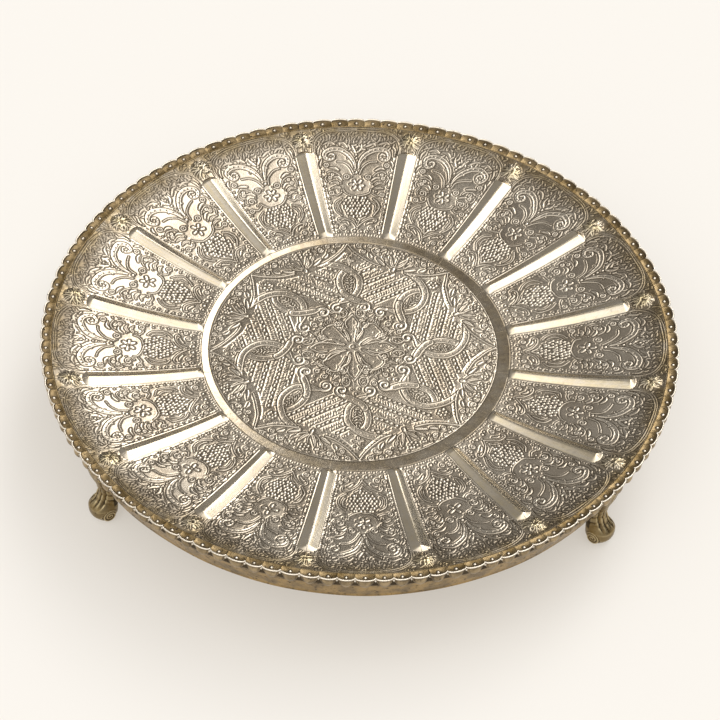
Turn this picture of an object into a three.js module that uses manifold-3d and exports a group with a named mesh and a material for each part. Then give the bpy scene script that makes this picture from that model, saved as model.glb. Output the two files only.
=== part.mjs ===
// A round footed tray: a beaten dish of sixteen panels between raised ribs, in a lobed border,
// on a turned-under apron that stands on three cast scroll feet.
// Millimetres, +Z up, standing on z = 0 with the tray's axis on Z. The front is -Y.
import * as THREE from 'three';
import { mergeVertices } from 'three/addons/utils/BufferGeometryUtils.js';
import Module from 'manifold-3d';

const wasm = await Module();
wasm.setup();

// Driving dimensions
const CLEARANCE = 0.3; // gap between pieces that are soldered, seated or riveted together

// The sheet: medallion, bevelled ring, panels and ribs
const PANEL_COUNT = 16;
const MEDALLION_RADIUS = 71.5;
const RING_WIDTH = 7.3;
const RING_RISE = 0.9;
const PANEL_LENGTH = 69.4; // from the ring to the sheet's edge
const DISH_RISE = 9.7; // from the ring's outer edge to the sheet's edge
const DISH_CURVE = 1.75; // power of the dish's rise, where 1 would be a plain cone
const SHEET_THICKNESS = 1.2;
const RIB_INNER_WIDTH = 6.6;
const RIB_OUTER_WIDTH = 9.5;
const RIB_HEIGHT = 1.6;
const RIB_MITRE = 3; // length over which each end of a rib runs down to the sheet
const RIB_END_MARGIN = 13; // from a rib's outer end to the sheet's edge

// The chased forms that swell up from each panel, and the boss past each rib's outer end
const CHASING_RISE = 0.6;
const PINE_LENGTH = 15;
const PINE_WIDTH = 13.6;
const CUP_LENGTH = 12.4;
const CUP_WIDTH = 14;
const FROND_LENGTH = 11.4;
const FROND_WIDTH = 16.8;
const FROND_SPACING = 20; // between the middles of a panel's two fronds
const PINE_PLACE = 0.3; // shares of the panel's length, from the ring to the middle of a form
const CUP_PLACE = 0.505;
const FROND_PLACE = 0.745;
const BOSS_DIAMETER = 10;
const BOSS_RISE = 1.2;
const BOSS_INSET = 6.8; // from the sheet's edge in to a boss's middle

// The lobed border
const LOBES_PER_PANEL = 7;
const BORDER_LENGTHS = 4;
const BORDER_WIDTH = 5.2; // from the sheet's edge out to a lobe's crest
const BORDER_HEIGHT = 5;
const BORDER_BASE_WIDTH = 3; // from the sheet's edge out to the border's lower outer edge
const BORDER_SEAT = 0.8; // ledge under the sheet's edge
const LOBE_DEPTH = 2.2;
const LIP_RISE = 1.1; // the lip's height above the sheet's edge
const LIP_SLOPE = 0.6; // fall of the border's top from the lip in to the sheet

// The apron under the border, with the flange that carries the feet
const APRON_HEIGHT = 18.1;
const APRON_STEP = 1.7; // from the sheet's edge out to the apron's outer face at its top
const APRON_TAPER = 6.1; // how far the apron leans in from its top down to its turn
const APRON_THICKNESS = 1.2;
const APRON_TURN_DEPTH = 1.8; // how far the foot of the apron curves in
const APRON_TURN_HEIGHT = 2; // height of that curve
const FLANGE_WIDTH = 14;

// The cast feet
const FOOT_HEIGHT = 30;
const FOOT_SPREAD = 115.8; // degrees between the two front feet
const FOOT_TURN = -3; // degrees from the middle front panel to the middle of the front feet
const TOE_SETBACK = 10.2; // from the apron's outer face at its top in to the toe's middle
const TOE_LENGTH = 13.6;
const TOE_WIDTH = 13;
const TOE_HEIGHT = 6.5; // height of the toe's widest section
const SOLE_LENGTH = 8.4;
const SOLE_WIDTH = 8.8;
const ANKLE_HEIGHT = 17.5;
const ANKLE_LENGTH = 9.4;
const ANKLE_WIDTH = 8.6;
const ANKLE_SETBACK = 2; // from the toe's middle in to the ankle's middle
const PAD_WIDTH = 16;
const PAD_MARGIN = 0.8; // from the flange's inner edge out to the pad
const LEAF_RISE = 10; // height of the knee's leaf up the apron's outer face
const LEAF_WIDTH = 18;
const LEAF_DEPTH = 1.2;
const LEAF_TIP_WIDTH = 10;

// The rivets that hold the feet to the flange
const RIVET_DIAMETER = 2.6;
const RIVET_HEAD_DIAMETER = 5.2;
const RIVET_HEAD_HEIGHT = 1.5;
const RIVET_DEPTH = 5; // length in the foot
const RIVET_SPACING = 9;
const RIVET_INSET = 5; // from the flange's inner edge

// How finely round shapes are divided
const PANEL_DIVISIONS = 6;
const DISH_STEPS = 11;
const DISH_UNDER_STEPS = 3;
const LOBE_DIVISIONS = 4;
const APRON_SEGMENTS = 72;
const APRON_TURN_STEPS = 4;
const FOOT_SIDES = 20;
const FOOT_SPAN_STEPS = 4;
const FOOT_ROUNDNESS = 2.6; // power of the foot's section, where 2 would be an ellipse
const RIVET_SEGMENTS = 16;

// Radii and heights that follow from those sizes
const ringRadius = MEDALLION_RADIUS + RING_WIDTH;
const sheetRadius = ringRadius + PANEL_LENGTH;
const ribEndRadius = sheetRadius - RIB_END_MARGIN;
const apronRadius = sheetRadius + APRON_STEP;
const flangeOuterRadius = apronRadius - APRON_TAPER - APRON_TURN_DEPTH;
const flangeInnerRadius = flangeOuterRadius - FLANGE_WIDTH;
const borderInnerRadius = sheetRadius + CLEARANCE;
const borderOuterRadius = borderInnerRadius + BORDER_WIDTH;
const flangeBottom = FOOT_HEIGHT + CLEARANCE;
const apronTop = flangeBottom + APRON_HEIGHT;
const borderBottom = apronTop + CLEARANCE;
const lipHeight = borderBottom + BORDER_HEIGHT;
const medallionHeight = lipHeight - LIP_RISE - DISH_RISE - RING_RISE;

const silvered = new THREE.MeshStandardMaterial({ color: 0xa59d8c, roughness: 0.4, metalness: 0.9 });
const wornBorder = new THREE.MeshStandardMaterial({ color: 0x9c8252, roughness: 0.42, metalness: 0.9 });
const bareBrass = new THREE.MeshStandardMaterial({ color: 0x86693a, roughness: 0.5, metalness: 0.85 });

// Turns a list of points and triangles into a geometry whose faces point out.
function closedGeometry(points, triangles) {
  let sixVolumes = 0;
  const normal = new THREE.Vector3();
  for (const [a, b, c] of triangles) {
    normal.crossVectors(points[b], points[c]);
    sixVolumes += points[a].dot(normal);
  }
  const facing = sixVolumes > 0 ? triangles : triangles.map(([a, b, c]) => [a, c, b]);
  const geometry = new THREE.BufferGeometry();
  geometry.setAttribute('position', new THREE.Float32BufferAttribute(points.flatMap((p) => p.toArray()), 3));
  geometry.setIndex(facing.flat());
  geometry.computeVertexNormals();
  return geometry;
}

// Skins a row of rings with equal point counts. An open row gets a cap at each end, divided in
// the plane that capPlane gives for a point.
function skinRings(rings, { closed, capPlane }) {
  const count = rings[0].length;
  const points = rings.flat();
  const triangles = [];
  const spans = closed ? rings.length : rings.length - 1;
  for (let i = 0; i < spans; i++) {
    const here = i * count;
    const there = ((i + 1) % rings.length) * count;
    for (let j = 0; j < count; j++) {
      const next = (j + 1) % count;
      triangles.push([here + j, there + j, there + next], [here + j, there + next, here + next]);
    }
  }
  if (!closed) {
    const last = (rings.length - 1) * count;
    const faces = THREE.ShapeUtils.triangulateShape(rings[0].map(capPlane), []);
    const lastFaces = THREE.ShapeUtils.triangulateShape(rings.at(-1).map(capPlane), []);
    const turned = THREE.ShapeUtils.isClockWise(rings[0].map(capPlane));
    for (const [a, b, c] of faces) {
      triangles.push(turned ? [a, c, b] : [a, b, c]);
    }
    for (const [a, b, c] of lastFaces) {
      triangles.push(turned ? [last + a, last + b, last + c] : [last + a, last + c, last + b]);
    }
  }
  return closedGeometry(points, triangles);
}

// A point at a radius, an angle in radians and a height.
function polar(radius, angle, height) {
  return new THREE.Vector3(radius * Math.cos(angle), radius * Math.sin(angle), height);
}

// Turns a profile of radius and height, which starts and ends on the axis, about Z.
function turned(profile, segments) {
  const points = profile.map(([radius, height]) => new THREE.Vector2(radius, height));
  return new THREE.LatheGeometry(points, segments).rotateX(Math.PI / 2);
}

function toSolid(geometry) {
  const bare = geometry.clone();
  bare.deleteAttribute('normal');
  bare.deleteAttribute('uv');
  const merged = mergeVertices(bare);
  const index = merged.index.array;
  const kept = [];
  for (let i = 0; i < index.length; i += 3) {
    const [a, b, c] = index.slice(i, i + 3);
    if (a !== b && b !== c && c !== a) kept.push(a, b, c);
  }
  const solid = (triVerts) => new wasm.Manifold(new wasm.Mesh({
    numProp: 3,
    vertProperties: new Float32Array(merged.attributes.position.array),
    triVerts: new Uint32Array(triVerts),
  }));
  const made = solid(kept);
  if (made.volume() > 0) return made;
  const flipped = [];
  for (let i = 0; i < kept.length; i += 3) flipped.push(kept[i], kept[i + 2], kept[i + 1]);
  return solid(flipped);
}

function fromSolid(solid) {
  const mesh = solid.getMesh();
  const geometry = new THREE.BufferGeometry();
  geometry.setAttribute('position', new THREE.BufferAttribute(mesh.vertProperties, mesh.numProp));
  geometry.setIndex(new THREE.BufferAttribute(mesh.triVerts, 1));
  geometry.computeVertexNormals();
  return geometry;
}

// The sheet's top surface above the medallion, between the ribs.
function dishHeight(radius) {
  if (radius <= MEDALLION_RADIUS) return 0;
  if (radius <= ringRadius) return RING_RISE * (radius - MEDALLION_RADIUS) / RING_WIDTH;
  return RING_RISE + DISH_RISE * ((radius - ringRadius) / PANEL_LENGTH) ** DISH_CURVE;
}

function ribLift(radius) {
  const fromInnerEnd = (radius - ringRadius) / RIB_MITRE;
  const fromOuterEnd = (ribEndRadius - radius) / RIB_MITRE;
  return RIB_HEIGHT * THREE.MathUtils.clamp(Math.min(fromInnerEnd, fromOuterEnd), 0, 1);
}

// Half the angle that a rib takes up at a radius.
function ribHalfAngle(radius) {
  const along = THREE.MathUtils.clamp((radius - ringRadius) / (ribEndRadius - ringRadius), 0, 1);
  const width = THREE.MathUtils.lerp(RIB_INNER_WIDTH, RIB_OUTER_WIDTH, along);
  return width / 2 / Math.max(radius, ringRadius);
}

// The height of a low cushion over its middle's rim, as a share of its rise.
function cushion(across, along, width, length) {
  return Math.sqrt(Math.max(0, 1 - (2 * across / width) ** 2 - (2 * along / length) ** 2));
}

// How far the chased forms stand up at a radius and an angle from the panel's axis.
function chasingLift(radius, angle) {
  const across = radius * Math.sin(angle);
  const along = radius * Math.cos(angle) - ringRadius;
  const frondAcross = Math.abs(across) - FROND_SPACING / 2;
  return CHASING_RISE * Math.max(
    cushion(across, along - PINE_PLACE * PANEL_LENGTH, PINE_WIDTH, PINE_LENGTH),
    cushion(across, along - CUP_PLACE * PANEL_LENGTH, CUP_WIDTH, CUP_LENGTH),
    cushion(frondAcross, along - FROND_PLACE * PANEL_LENGTH, FROND_WIDTH, FROND_LENGTH),
  );
}

function bossLift(radius) {
  return BOSS_RISE * cushion(0, sheetRadius - BOSS_INSET - radius, BOSS_DIAMETER, BOSS_DIAMETER);
}

// One ring of the sheet's points: for each panel a rib's crest and the panel beside it.
function sheetRing(radius, { drop, chased }) {
  const panelAngle = 2 * Math.PI / PANEL_COUNT;
  const base = medallionHeight + dishHeight(radius) - drop;
  const half = ribHalfAngle(radius);
  const ring = [];
  for (let panel = 0; panel < PANEL_COUNT; panel++) {
    const crest = (panel + 0.5) * panelAngle;
    ring.push(polar(radius, crest, base + ribLift(radius) + (chased ? bossLift(radius) : 0)));
    for (let i = 0; i <= PANEL_DIVISIONS; i++) {
      const fromAxis = (i / PANEL_DIVISIONS - 0.5) * (panelAngle - 2 * half);
      const lift = chased ? chasingLift(radius, fromAxis) : 0;
      ring.push(polar(radius, crest + panelAngle / 2 + fromAxis, base + lift));
    }
  }
  return ring;
}

// The radii of the sheet's rings, with the dish between the ribs' mitres in equal steps.
function sheetRadii(dishSteps) {
  const radii = [MEDALLION_RADIUS, ringRadius];
  const ribRun = ribEndRadius - ringRadius - 2 * RIB_MITRE;
  for (let i = 0; i <= dishSteps; i++) {
    radii.push(ringRadius + RIB_MITRE + ribRun * i / dishSteps);
  }
  return [...radii, ribEndRadius, sheetRadius - BOSS_INSET, sheetRadius];
}

function traySheet() {
  const top = sheetRadii(DISH_STEPS).map((radius) => sheetRing(radius, { drop: 0, chased: true }));
  const under = sheetRadii(DISH_UNDER_STEPS)
    .map((radius) => sheetRing(radius, { drop: SHEET_THICKNESS, chased: false }))
    .reverse();
  return skinRings([...top, ...under], {
    closed: false,
    capPlane: (point) => new THREE.Vector2(point.x, point.y),
  });
}

// How far a lobe's edge draws in from its crest, for a place across the lobe from -1 to 1.
function lobeInset(across) {
  return LOBE_DEPTH * (1 - Math.sqrt(Math.max(0, 1 - across * across)));
}

// One length of the border: an L section whose outer edge swells into lobes.
function borderLength(number) {
  const lobes = PANEL_COUNT * LOBES_PER_PANEL / BORDER_LENGTHS;
  const lobeAngle = 2 * Math.PI / (PANEL_COUNT * LOBES_PER_PANEL);
  const start = (number * lobes + LOBES_PER_PANEL / 2) * lobeAngle;
  const jointAngle = CLEARANCE / 2 / sheetRadius;
  const steps = lobes * LOBE_DIVISIONS;
  const seatRadius = sheetRadius - BORDER_SEAT;
  const seatHeight = medallionHeight + dishHeight(seatRadius) - SHEET_THICKNESS - CLEARANCE;
  const rings = [];
  for (let i = 0; i <= steps; i++) {
    const across = (i % LOBE_DIVISIONS) / LOBE_DIVISIONS * 2 - 1;
    const outer = borderOuterRadius - lobeInset(across);
    let angle = start + i / LOBE_DIVISIONS * lobeAngle;
    if (i === 0) angle += jointAngle;
    if (i === steps) angle -= jointAngle;
    rings.push([
      polar(borderInnerRadius, angle, lipHeight - LIP_SLOPE),
      polar(outer, angle, lipHeight),
      polar(borderInnerRadius + BORDER_BASE_WIDTH, angle, borderBottom),
      polar(seatRadius, angle, borderBottom),
      polar(seatRadius, angle, seatHeight),
      polar(borderInnerRadius, angle, seatHeight),
    ]);
  }
  const capPlane = (point) => new THREE.Vector2(Math.hypot(point.x, point.y), point.z);
  return skinRings(rings, { closed: false, capPlane });
}

// The radius of the apron's leaning outer face at a height.
function wallRadius(height) {
  const down = (apronTop - height) / (APRON_HEIGHT - APRON_TURN_HEIGHT);
  return apronRadius - APRON_TAPER * THREE.MathUtils.clamp(down, 0, 1);
}

// The apron's outer face from its top down to the flange, as radius and height, grown outward.
function apronOuterProfile(grow) {
  const profile = [[apronRadius + grow, apronTop]];
  for (let i = 0; i <= APRON_TURN_STEPS; i++) {
    const turn = i / APRON_TURN_STEPS * Math.PI / 2;
    profile.push([
      flangeOuterRadius + (APRON_TURN_DEPTH + grow) * Math.cos(turn),
      flangeBottom + APRON_TURN_HEIGHT - (APRON_TURN_HEIGHT + grow) * Math.sin(turn),
    ]);
  }
  return profile;
}

function apronBand(feet) {
  const section = [
    ...apronOuterProfile(0),
    [flangeInnerRadius, flangeBottom],
    [flangeInnerRadius, flangeBottom + APRON_THICKNESS],
    ...apronOuterProfile(-APRON_THICKNESS).reverse(),
  ];
  const rings = [];
  for (let i = 0; i < APRON_SEGMENTS; i++) {
    const angle = i / APRON_SEGMENTS * 2 * Math.PI;
    rings.push(section.map(([radius, height]) => polar(radius, angle, height)));
  }
  let band = toSolid(skinRings(rings, { closed: true }));
  for (const foot of feet) {
    for (const side of [-1, 1]) {
      const bore = rivetBore(side).rotateZ(foot.angle);
      band = band.subtract(toSolid(bore));
    }
  }
  return fromSolid(band);
}

// A section of the foot's knee, from the pad under the flange out to the leaf on the apron's face.
function kneeSection(height, width) {
  const padInner = flangeInnerRadius + PAD_MARGIN;
  const leafFace = wallRadius(height) + CLEARANCE + LEAF_DEPTH;
  return { height, middle: (padInner + leafFace) / 2, length: leafFace - padInner, width };
}

// A foot's sections from the sole up to the tip of the knee's leaf, on the +X side of the tray.
function footSections() {
  const toeMiddle = apronRadius - TOE_SETBACK;
  return [
    { height: 0, middle: toeMiddle, length: SOLE_LENGTH, width: SOLE_WIDTH },
    { height: TOE_HEIGHT, middle: toeMiddle, length: TOE_LENGTH, width: TOE_WIDTH },
    { height: ANKLE_HEIGHT, middle: toeMiddle - ANKLE_SETBACK, length: ANKLE_LENGTH, width: ANKLE_WIDTH },
    kneeSection(FOOT_HEIGHT, PAD_WIDTH),
    kneeSection(flangeBottom + LEAF_RISE / 2, LEAF_WIDTH),
    kneeSection(flangeBottom + LEAF_RISE, LEAF_TIP_WIDTH),
  ];
}

function footRing({ height, middle, length, width }) {
  const ring = [];
  for (let i = 0; i < FOOT_SIDES; i++) {
    const turn = i / FOOT_SIDES * 2 * Math.PI;
    const along = Math.sign(Math.cos(turn)) * Math.abs(Math.cos(turn)) ** (2 / FOOT_ROUNDNESS);
    const across = Math.sign(Math.sin(turn)) * Math.abs(Math.sin(turn)) ** (2 / FOOT_ROUNDNESS);
    ring.push(new THREE.Vector3(middle + along * length / 2, across * width / 2, height));
  }
  return ring;
}

// A cast foot, cut to seat under the flange and against the apron's face, with its rivet bores.
function foot() {
  const keys = footSections();
  const rings = [footRing(keys[0])];
  for (let i = 1; i < keys.length; i++) {
    for (let step = 1; step <= FOOT_SPAN_STEPS; step++) {
      const along = step / FOOT_SPAN_STEPS;
      const eased = THREE.MathUtils.smoothstep(along, 0, 1);
      const between = {};
      for (const name of ['middle', 'length', 'width']) {
        between[name] = THREE.MathUtils.lerp(keys[i - 1][name], keys[i][name], eased);
      }
      between.height = THREE.MathUtils.lerp(keys[i - 1].height, keys[i].height, along);
      rings.push(footRing(between));
    }
  }
  const capPlane = (point) => new THREE.Vector2(point.x, point.y);
  const casting = toSolid(skinRings(rings, { closed: false, capPlane }));
  const seat = turned([[0, lipHeight], [apronRadius + CLEARANCE, lipHeight], ...apronOuterProfile(CLEARANCE),
    [0, FOOT_HEIGHT]], APRON_SEGMENTS);
  const bores = [-1, 1].map((side) => toSolid(rivetBore(side)));
  return fromSolid(casting.subtract(toSolid(seat)).subtract(bores[0]).subtract(bores[1]));
}

// Where a rivet stands on the foot at the +X side: side is -1 or 1.
function rivetPlace(side) {
  return new THREE.Vector3(flangeInnerRadius + RIVET_INSET, side * RIVET_SPACING / 2, flangeBottom);
}

function rivetBore(side) {
  const radius = RIVET_DIAMETER / 2 + CLEARANCE;
  const low = -RIVET_DEPTH - CLEARANCE;
  const high = APRON_THICKNESS + CLEARANCE;
  const bore = turned([[0, low], [radius, low], [radius, high], [0, high]], RIVET_SEGMENTS);
  return bore.translate(...rivetPlace(side).toArray());
}

// A rivet with its shank down in the foot and its head on the flange.
function rivet() {
  const seat = APRON_THICKNESS + CLEARANCE;
  const shank = RIVET_DIAMETER / 2;
  const head = RIVET_HEAD_DIAMETER / 2;
  const crown = head * Math.SQRT1_2;
  const profile = [
    [0, -RIVET_DEPTH],
    [shank, -RIVET_DEPTH],
    [shank, seat],
    [head, seat],
    [crown, seat + RIVET_HEAD_HEIGHT * Math.SQRT1_2],
    [0, seat + RIVET_HEAD_HEIGHT],
  ];
  return fromSolid(toSolid(turned(profile, RIVET_SEGMENTS)));
}

const frontAngle = THREE.MathUtils.degToRad(FOOT_TURN - 90);
const halfSpread = THREE.MathUtils.degToRad(FOOT_SPREAD / 2);
const feet = [
  { name: 'left', angle: frontAngle - halfSpread },
  { name: 'right', angle: frontAngle + halfSpread },
  { name: 'back', angle: frontAngle + Math.PI },
];

const tray = new THREE.Group();

function addPiece(parent, name, geometry, material) {
  const mesh = new THREE.Mesh(geometry, material);
  mesh.name = name;
  parent.add(mesh);
  return mesh;
}

addPiece(tray, 'tray_sheet', traySheet(), silvered);
for (let number = 0; number < BORDER_LENGTHS; number++) {
  addPiece(tray, `border_length_${number + 1}`, borderLength(number), wornBorder);
}
addPiece(tray, 'apron_band', apronBand(feet), bareBrass);
for (const { name, angle } of feet) {
  const corner = new THREE.Group();
  corner.rotation.z = angle;
  tray.add(corner);
  addPiece(corner, `foot_${name}`, foot(), bareBrass);
  for (const side of [-1, 1]) {
    const number = side < 0 ? 1 : 2;
    const mesh = addPiece(corner, `foot_rivet_${name}_${number}`, rivet(), bareBrass);
    mesh.position.copy(rivetPlace(side));
  }
}

export default tray;
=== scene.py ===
# A round footed tray of silvered brass, chased all over, on three cast scroll feet.
# Shapes are worked out in millimetres and stored in metres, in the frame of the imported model.
import math

import bpy
import mathutils
import numpy as np
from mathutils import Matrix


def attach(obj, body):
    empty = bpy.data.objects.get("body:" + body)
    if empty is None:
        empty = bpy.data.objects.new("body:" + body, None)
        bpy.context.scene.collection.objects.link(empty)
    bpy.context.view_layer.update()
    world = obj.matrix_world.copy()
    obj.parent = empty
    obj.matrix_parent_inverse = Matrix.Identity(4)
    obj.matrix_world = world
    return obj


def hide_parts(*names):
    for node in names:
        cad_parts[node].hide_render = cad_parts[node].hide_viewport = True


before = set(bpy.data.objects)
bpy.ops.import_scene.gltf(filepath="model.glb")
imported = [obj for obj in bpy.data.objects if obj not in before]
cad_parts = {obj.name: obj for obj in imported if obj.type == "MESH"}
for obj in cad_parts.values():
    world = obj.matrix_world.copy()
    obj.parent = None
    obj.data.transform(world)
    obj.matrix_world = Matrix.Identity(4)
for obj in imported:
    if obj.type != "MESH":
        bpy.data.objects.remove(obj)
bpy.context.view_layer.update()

MM = 0.001
FAR = 99.0

# Sizes of the tray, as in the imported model
PANELS = 16
PANEL_ANGLE = 2 * math.pi / PANELS
MEDALLION_Z = 42.0
MEDALLION_R = 71.5
RING_R = 78.8
SHEET_R = 148.2
RING_RISE = 0.9
DISH_RISE = 9.7
DISH_CURVE = 1.75
SHEET = 1.2
RIB_INNER, RIB_OUTER, RIB_HEIGHT = 3.3, 4.75, 1.6
RIB_END = 135.2
RIB_ROUND = 132.4
LIP_Z = 53.7
LOBES = PANELS * 7
APRON_R = 149.9

# The hand-made ring isn't quite round or central: centre and half axes of its two edges
RING_INNER_EDGE = ((-3.0, 2.05), (69.8, 72.85))
RING_OUTER_EDGE = ((-1.8, 0.35), (74.8, 78.2))


def smoothstep(low, high, value):
    t = np.clip((value - low) / (high - low), 0, 1)
    return t * t * (3 - 2 * t)


def smooth(points, per=7):
    """A smooth line through the points."""
    p = np.asarray(points, float)
    ends = np.vstack([2 * p[0] - p[1], p, 2 * p[-1] - p[-2]])
    t = np.linspace(0, 1, per, endpoint=False)[:, None]
    line = []
    for a, b, c, d in zip(ends, ends[1:], ends[2:], ends[3:]):
        cubic = (3 * b - a - 3 * c + d) * t**3
        line.append(0.5 * (2 * b + (c - a) * t + (2 * a - 5 * b + 4 * c - d) * t**2 + cubic))
    return np.vstack(line + [p[-1:]])


def spiral(centre, outer, inner, start, turns):
    """A scroll's line from its outside in. Turns below zero run clockwise. start is in degrees."""
    t = np.linspace(0, 1, max(8, int(abs(turns) * 22)))
    radius = outer + (inner - outer) * t**0.8
    angle = math.radians(start) + 2 * math.pi * turns * t
    return np.stack([centre[0] + radius * np.cos(angle), centre[1] + radius * np.sin(angle)], axis=1)


class Relief:
    """A height map in millimetres over a flat rectangle, built up of lines, beads and leaves."""

    def __init__(self, low, high, step=0.2):
        self.step = step
        self.low = np.array(low, float)
        self.x = np.arange(low[0], high[0] + step, step)
        self.y = np.arange(low[1], high[1] + step, step)
        shape = (len(self.y), len(self.x))
        self.edge = np.full(shape, FAR)  # distance out from the nearest raised form
        self.top = np.zeros(shape)  # height of the raised forms
        self.cut = np.zeros(shape)  # depth of punched and cut marks

    def window(self, points, margin):
        low = (np.min(points, axis=0) - margin - self.low) / self.step
        high = (np.max(points, axis=0) + margin - self.low) / self.step
        rows = slice(max(0, int(low[1])), max(0, int(high[1]) + 2))
        cols = slice(max(0, int(low[0])), max(0, int(high[0]) + 2))
        return (rows, cols), self.x[cols][None, :], self.y[rows][:, None]

    def away(self, points, widths, margin=1.2, butt=False):
        """The distance out from a line of those half widths, round the line."""
        p = np.asarray(points, float)
        w = np.broadcast_to(np.asarray(widths, float), len(p))
        part, x, y = self.window(p, np.max(w) + margin)
        edge = np.full((y.size, x.size), FAR)
        middle = np.full((y.size, x.size), FAR)
        half = np.ones((y.size, x.size))
        for k, (a, b) in enumerate(zip(p, p[1:])):
            d = b - a
            t = ((x - a[0]) * d[0] + (y - a[1]) * d[1]) / max(d @ d, 1e-9)
            near = np.clip(t, 0, 1)
            distance = np.hypot(x - a[0] - near * d[0], y - a[1] - near * d[1])
            if butt and k == 0:
                distance = np.where(t < 0, FAR, distance)
            if butt and k == len(p) - 2:
                distance = np.where(t > 1, FAR, distance)
            width = w[k] + near * (w[k + 1] - w[k])
            closer = distance - width < edge
            edge = np.where(closer, distance - width, edge)
            middle = np.where(closer, distance, middle)
            half = np.where(closer, width, half)
        return part, edge, middle / np.maximum(half, 1e-3)

    def put(self, part, edge, height):
        self.edge[part] = np.minimum(self.edge[part], edge)
        self.top[part] = np.maximum(self.top[part], height)

    def line(self, points, width=0.4, height=0.42, grooved=True):
        """A raised line of that half width, round on top, with or without a groove round it."""
        part, edge, across = self.away(points, width)
        self.put(part, edge if grooved else FAR, height * np.sqrt(np.clip(1 - across**2, 0, 1)))

    def leaf(self, points, width, height=0.42, vein=True):
        """A leaf that swells from a point and tapers to a point along a line."""
        p = smooth(points)
        t = np.linspace(0, 1, len(p))
        self.line(p, width * np.sin(np.pi * (0.06 + 0.94 * t) ** 0.8) ** 0.8 + 0.12, height)
        if vein:
            self.groove(p[: int(len(p) * 0.8)], 0.24, 0.34)

    def groove(self, points, width=0.25, depth=0.3):
        part, edge, across = self.away(points, width)
        self.cut[part] = np.maximum(self.cut[part], depth * np.exp(-(across**2)))

    def punch(self, x, y, radius=0.36, depth=0.45):
        part, gx, gy = self.window(np.array([[x, y]]), radius + 0.6)
        distance = np.hypot(gx - x, gy - y)
        self.cut[part] = np.maximum(self.cut[part], depth * np.exp(-((distance / radius) ** 4)))

    def ribbon(self, points, half, height=0.05, rim=0.3):
        """A flat band with raised edges that lies over what is already there."""
        part, edge, across = self.away(points, half, butt=True)
        over = edge < 0.55
        rise = height * np.clip(-edge / 0.3, 0, 1) + rim * np.exp(-(((edge + 0.34) / 0.24) ** 2))
        self.top[part] = np.where(over, np.where(edge < 0, rise, 0), self.top[part])
        self.edge[part] = np.where(over, edge, np.minimum(self.edge[part], edge))
        self.cut[part] = np.where(over, 0.08 * (edge < -0.6), self.cut[part])

    def free(self, x, y):
        """The distance from a place to the nearest raised form."""
        j = int(np.clip((x - self.low[0]) / self.step, 0, len(self.x) - 1))
        i = int(np.clip((y - self.low[1]) / self.step, 0, len(self.y) - 1))
        return self.edge[i, j]

    def finish(self, groove=0.2, reach=0.3):
        """The whole height, how dark the hollows are and how much is raised."""
        beside = np.exp(-(((self.edge - 0.2) / reach) ** 2))
        height = 0.62 * self.top - groove * beside - 0.7 * self.cut
        dark = np.clip(1.2 * np.exp(-(((self.edge - 0.2) / reach) ** 2)) + self.cut * 2.4, 0, 1)
        raised = np.clip(self.top / 0.42, 0, 1) * np.clip(1 - self.cut * 2.5, 0, 1)
        return np.stack([height, dark, raised], axis=-1)

    def sample(self, maps, x, y):
        """The finished maps read off between their points."""
        fx = np.clip((x - self.low[0]) / self.step, 0, len(self.x) - 1.001)
        fy = np.clip((y - self.low[1]) / self.step, 0, len(self.y) - 1.001)
        j, i = fx.astype(int), fy.astype(int)
        u, v = (fx - j)[..., None], (fy - i)[..., None]
        low = maps[i, j] * (1 - u) + maps[i, j + 1] * u
        high = maps[i + 1, j] * (1 - u) + maps[i + 1, j + 1] * u
        return low * (1 - v) + high * v


class Chaser:
    """Works a relief by hand: every mark slips a little, in a frame that can be turned and mirrored."""

    def __init__(self, relief, seed, slip):
        self.relief = relief
        self.rng = np.random.default_rng(seed)
        self.slip = slip
        self.origin = np.zeros(2)

    def turn(self, degrees, side=1):
        """Takes points as along and across an axis at that angle."""
        c, s = math.cos(math.radians(degrees)), math.sin(math.radians(degrees))
        self.axes = np.array([[c, s], [-s * side, c * side]])

    def mirror(self, side):
        """Takes points as across and out, on the right side or mirrored to the left."""
        self.axes = np.array([[side, 0.0], [0.0, 1.0]])

    def at(self, points, slip=None):
        p = np.atleast_2d(np.asarray(points, float))
        return (p + self.rng.normal(0, self.slip if slip is None else slip, p.shape)) @ self.axes + self.origin

    def line(self, points, width=0.4, height=0.42, grooved=True):
        self.relief.line(smooth(self.at(points)), width * self.rng.uniform(0.9, 1.12), height, grooved)

    def leaf(self, points, width, height=0.3, vein=True):
        self.relief.leaf(self.at(points), width, height, vein)

    def bead(self, x, y, radius, height=0.5, long=0.0, towards=(1, 0)):
        """A bead, drawn out along a direction by a length."""
        half = np.array(towards) * (long / 2 + 0.01)
        middle = np.array([x, y]) + self.rng.normal(0, self.slip, 2)
        ends = self.at([middle - half, middle + half], 0)
        self.relief.line(ends, radius * self.rng.uniform(0.9, 1.1), height)

    def ring(self, x, y, radius, width=0.36):
        centre = self.at([(x, y)])[0]
        self.relief.line(spiral(centre, radius, radius, 0, 1), width, 0.4)
        self.relief.line([centre, centre + 0.02], max(0.3, 0.38 * radius), 0.45)

    def scroll(self, centre, outer, inner, start, turns, widths=(0.5, 0.36), height=0.42):
        middle = np.array(centre) + self.rng.normal(0, self.slip, 2)
        path = self.at(spiral(middle, outer, inner, start, turns), 0)
        self.relief.line(path, np.linspace(*widths, len(path)), height)

    def cut(self, points, width=0.22, depth=0.3):
        self.relief.groove(smooth(self.at(points)), width, depth)

    def dot(self, x, y, radius=0.34, depth=0.42):
        self.relief.punch(*self.at([(x, y)])[0], radius, depth)


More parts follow.
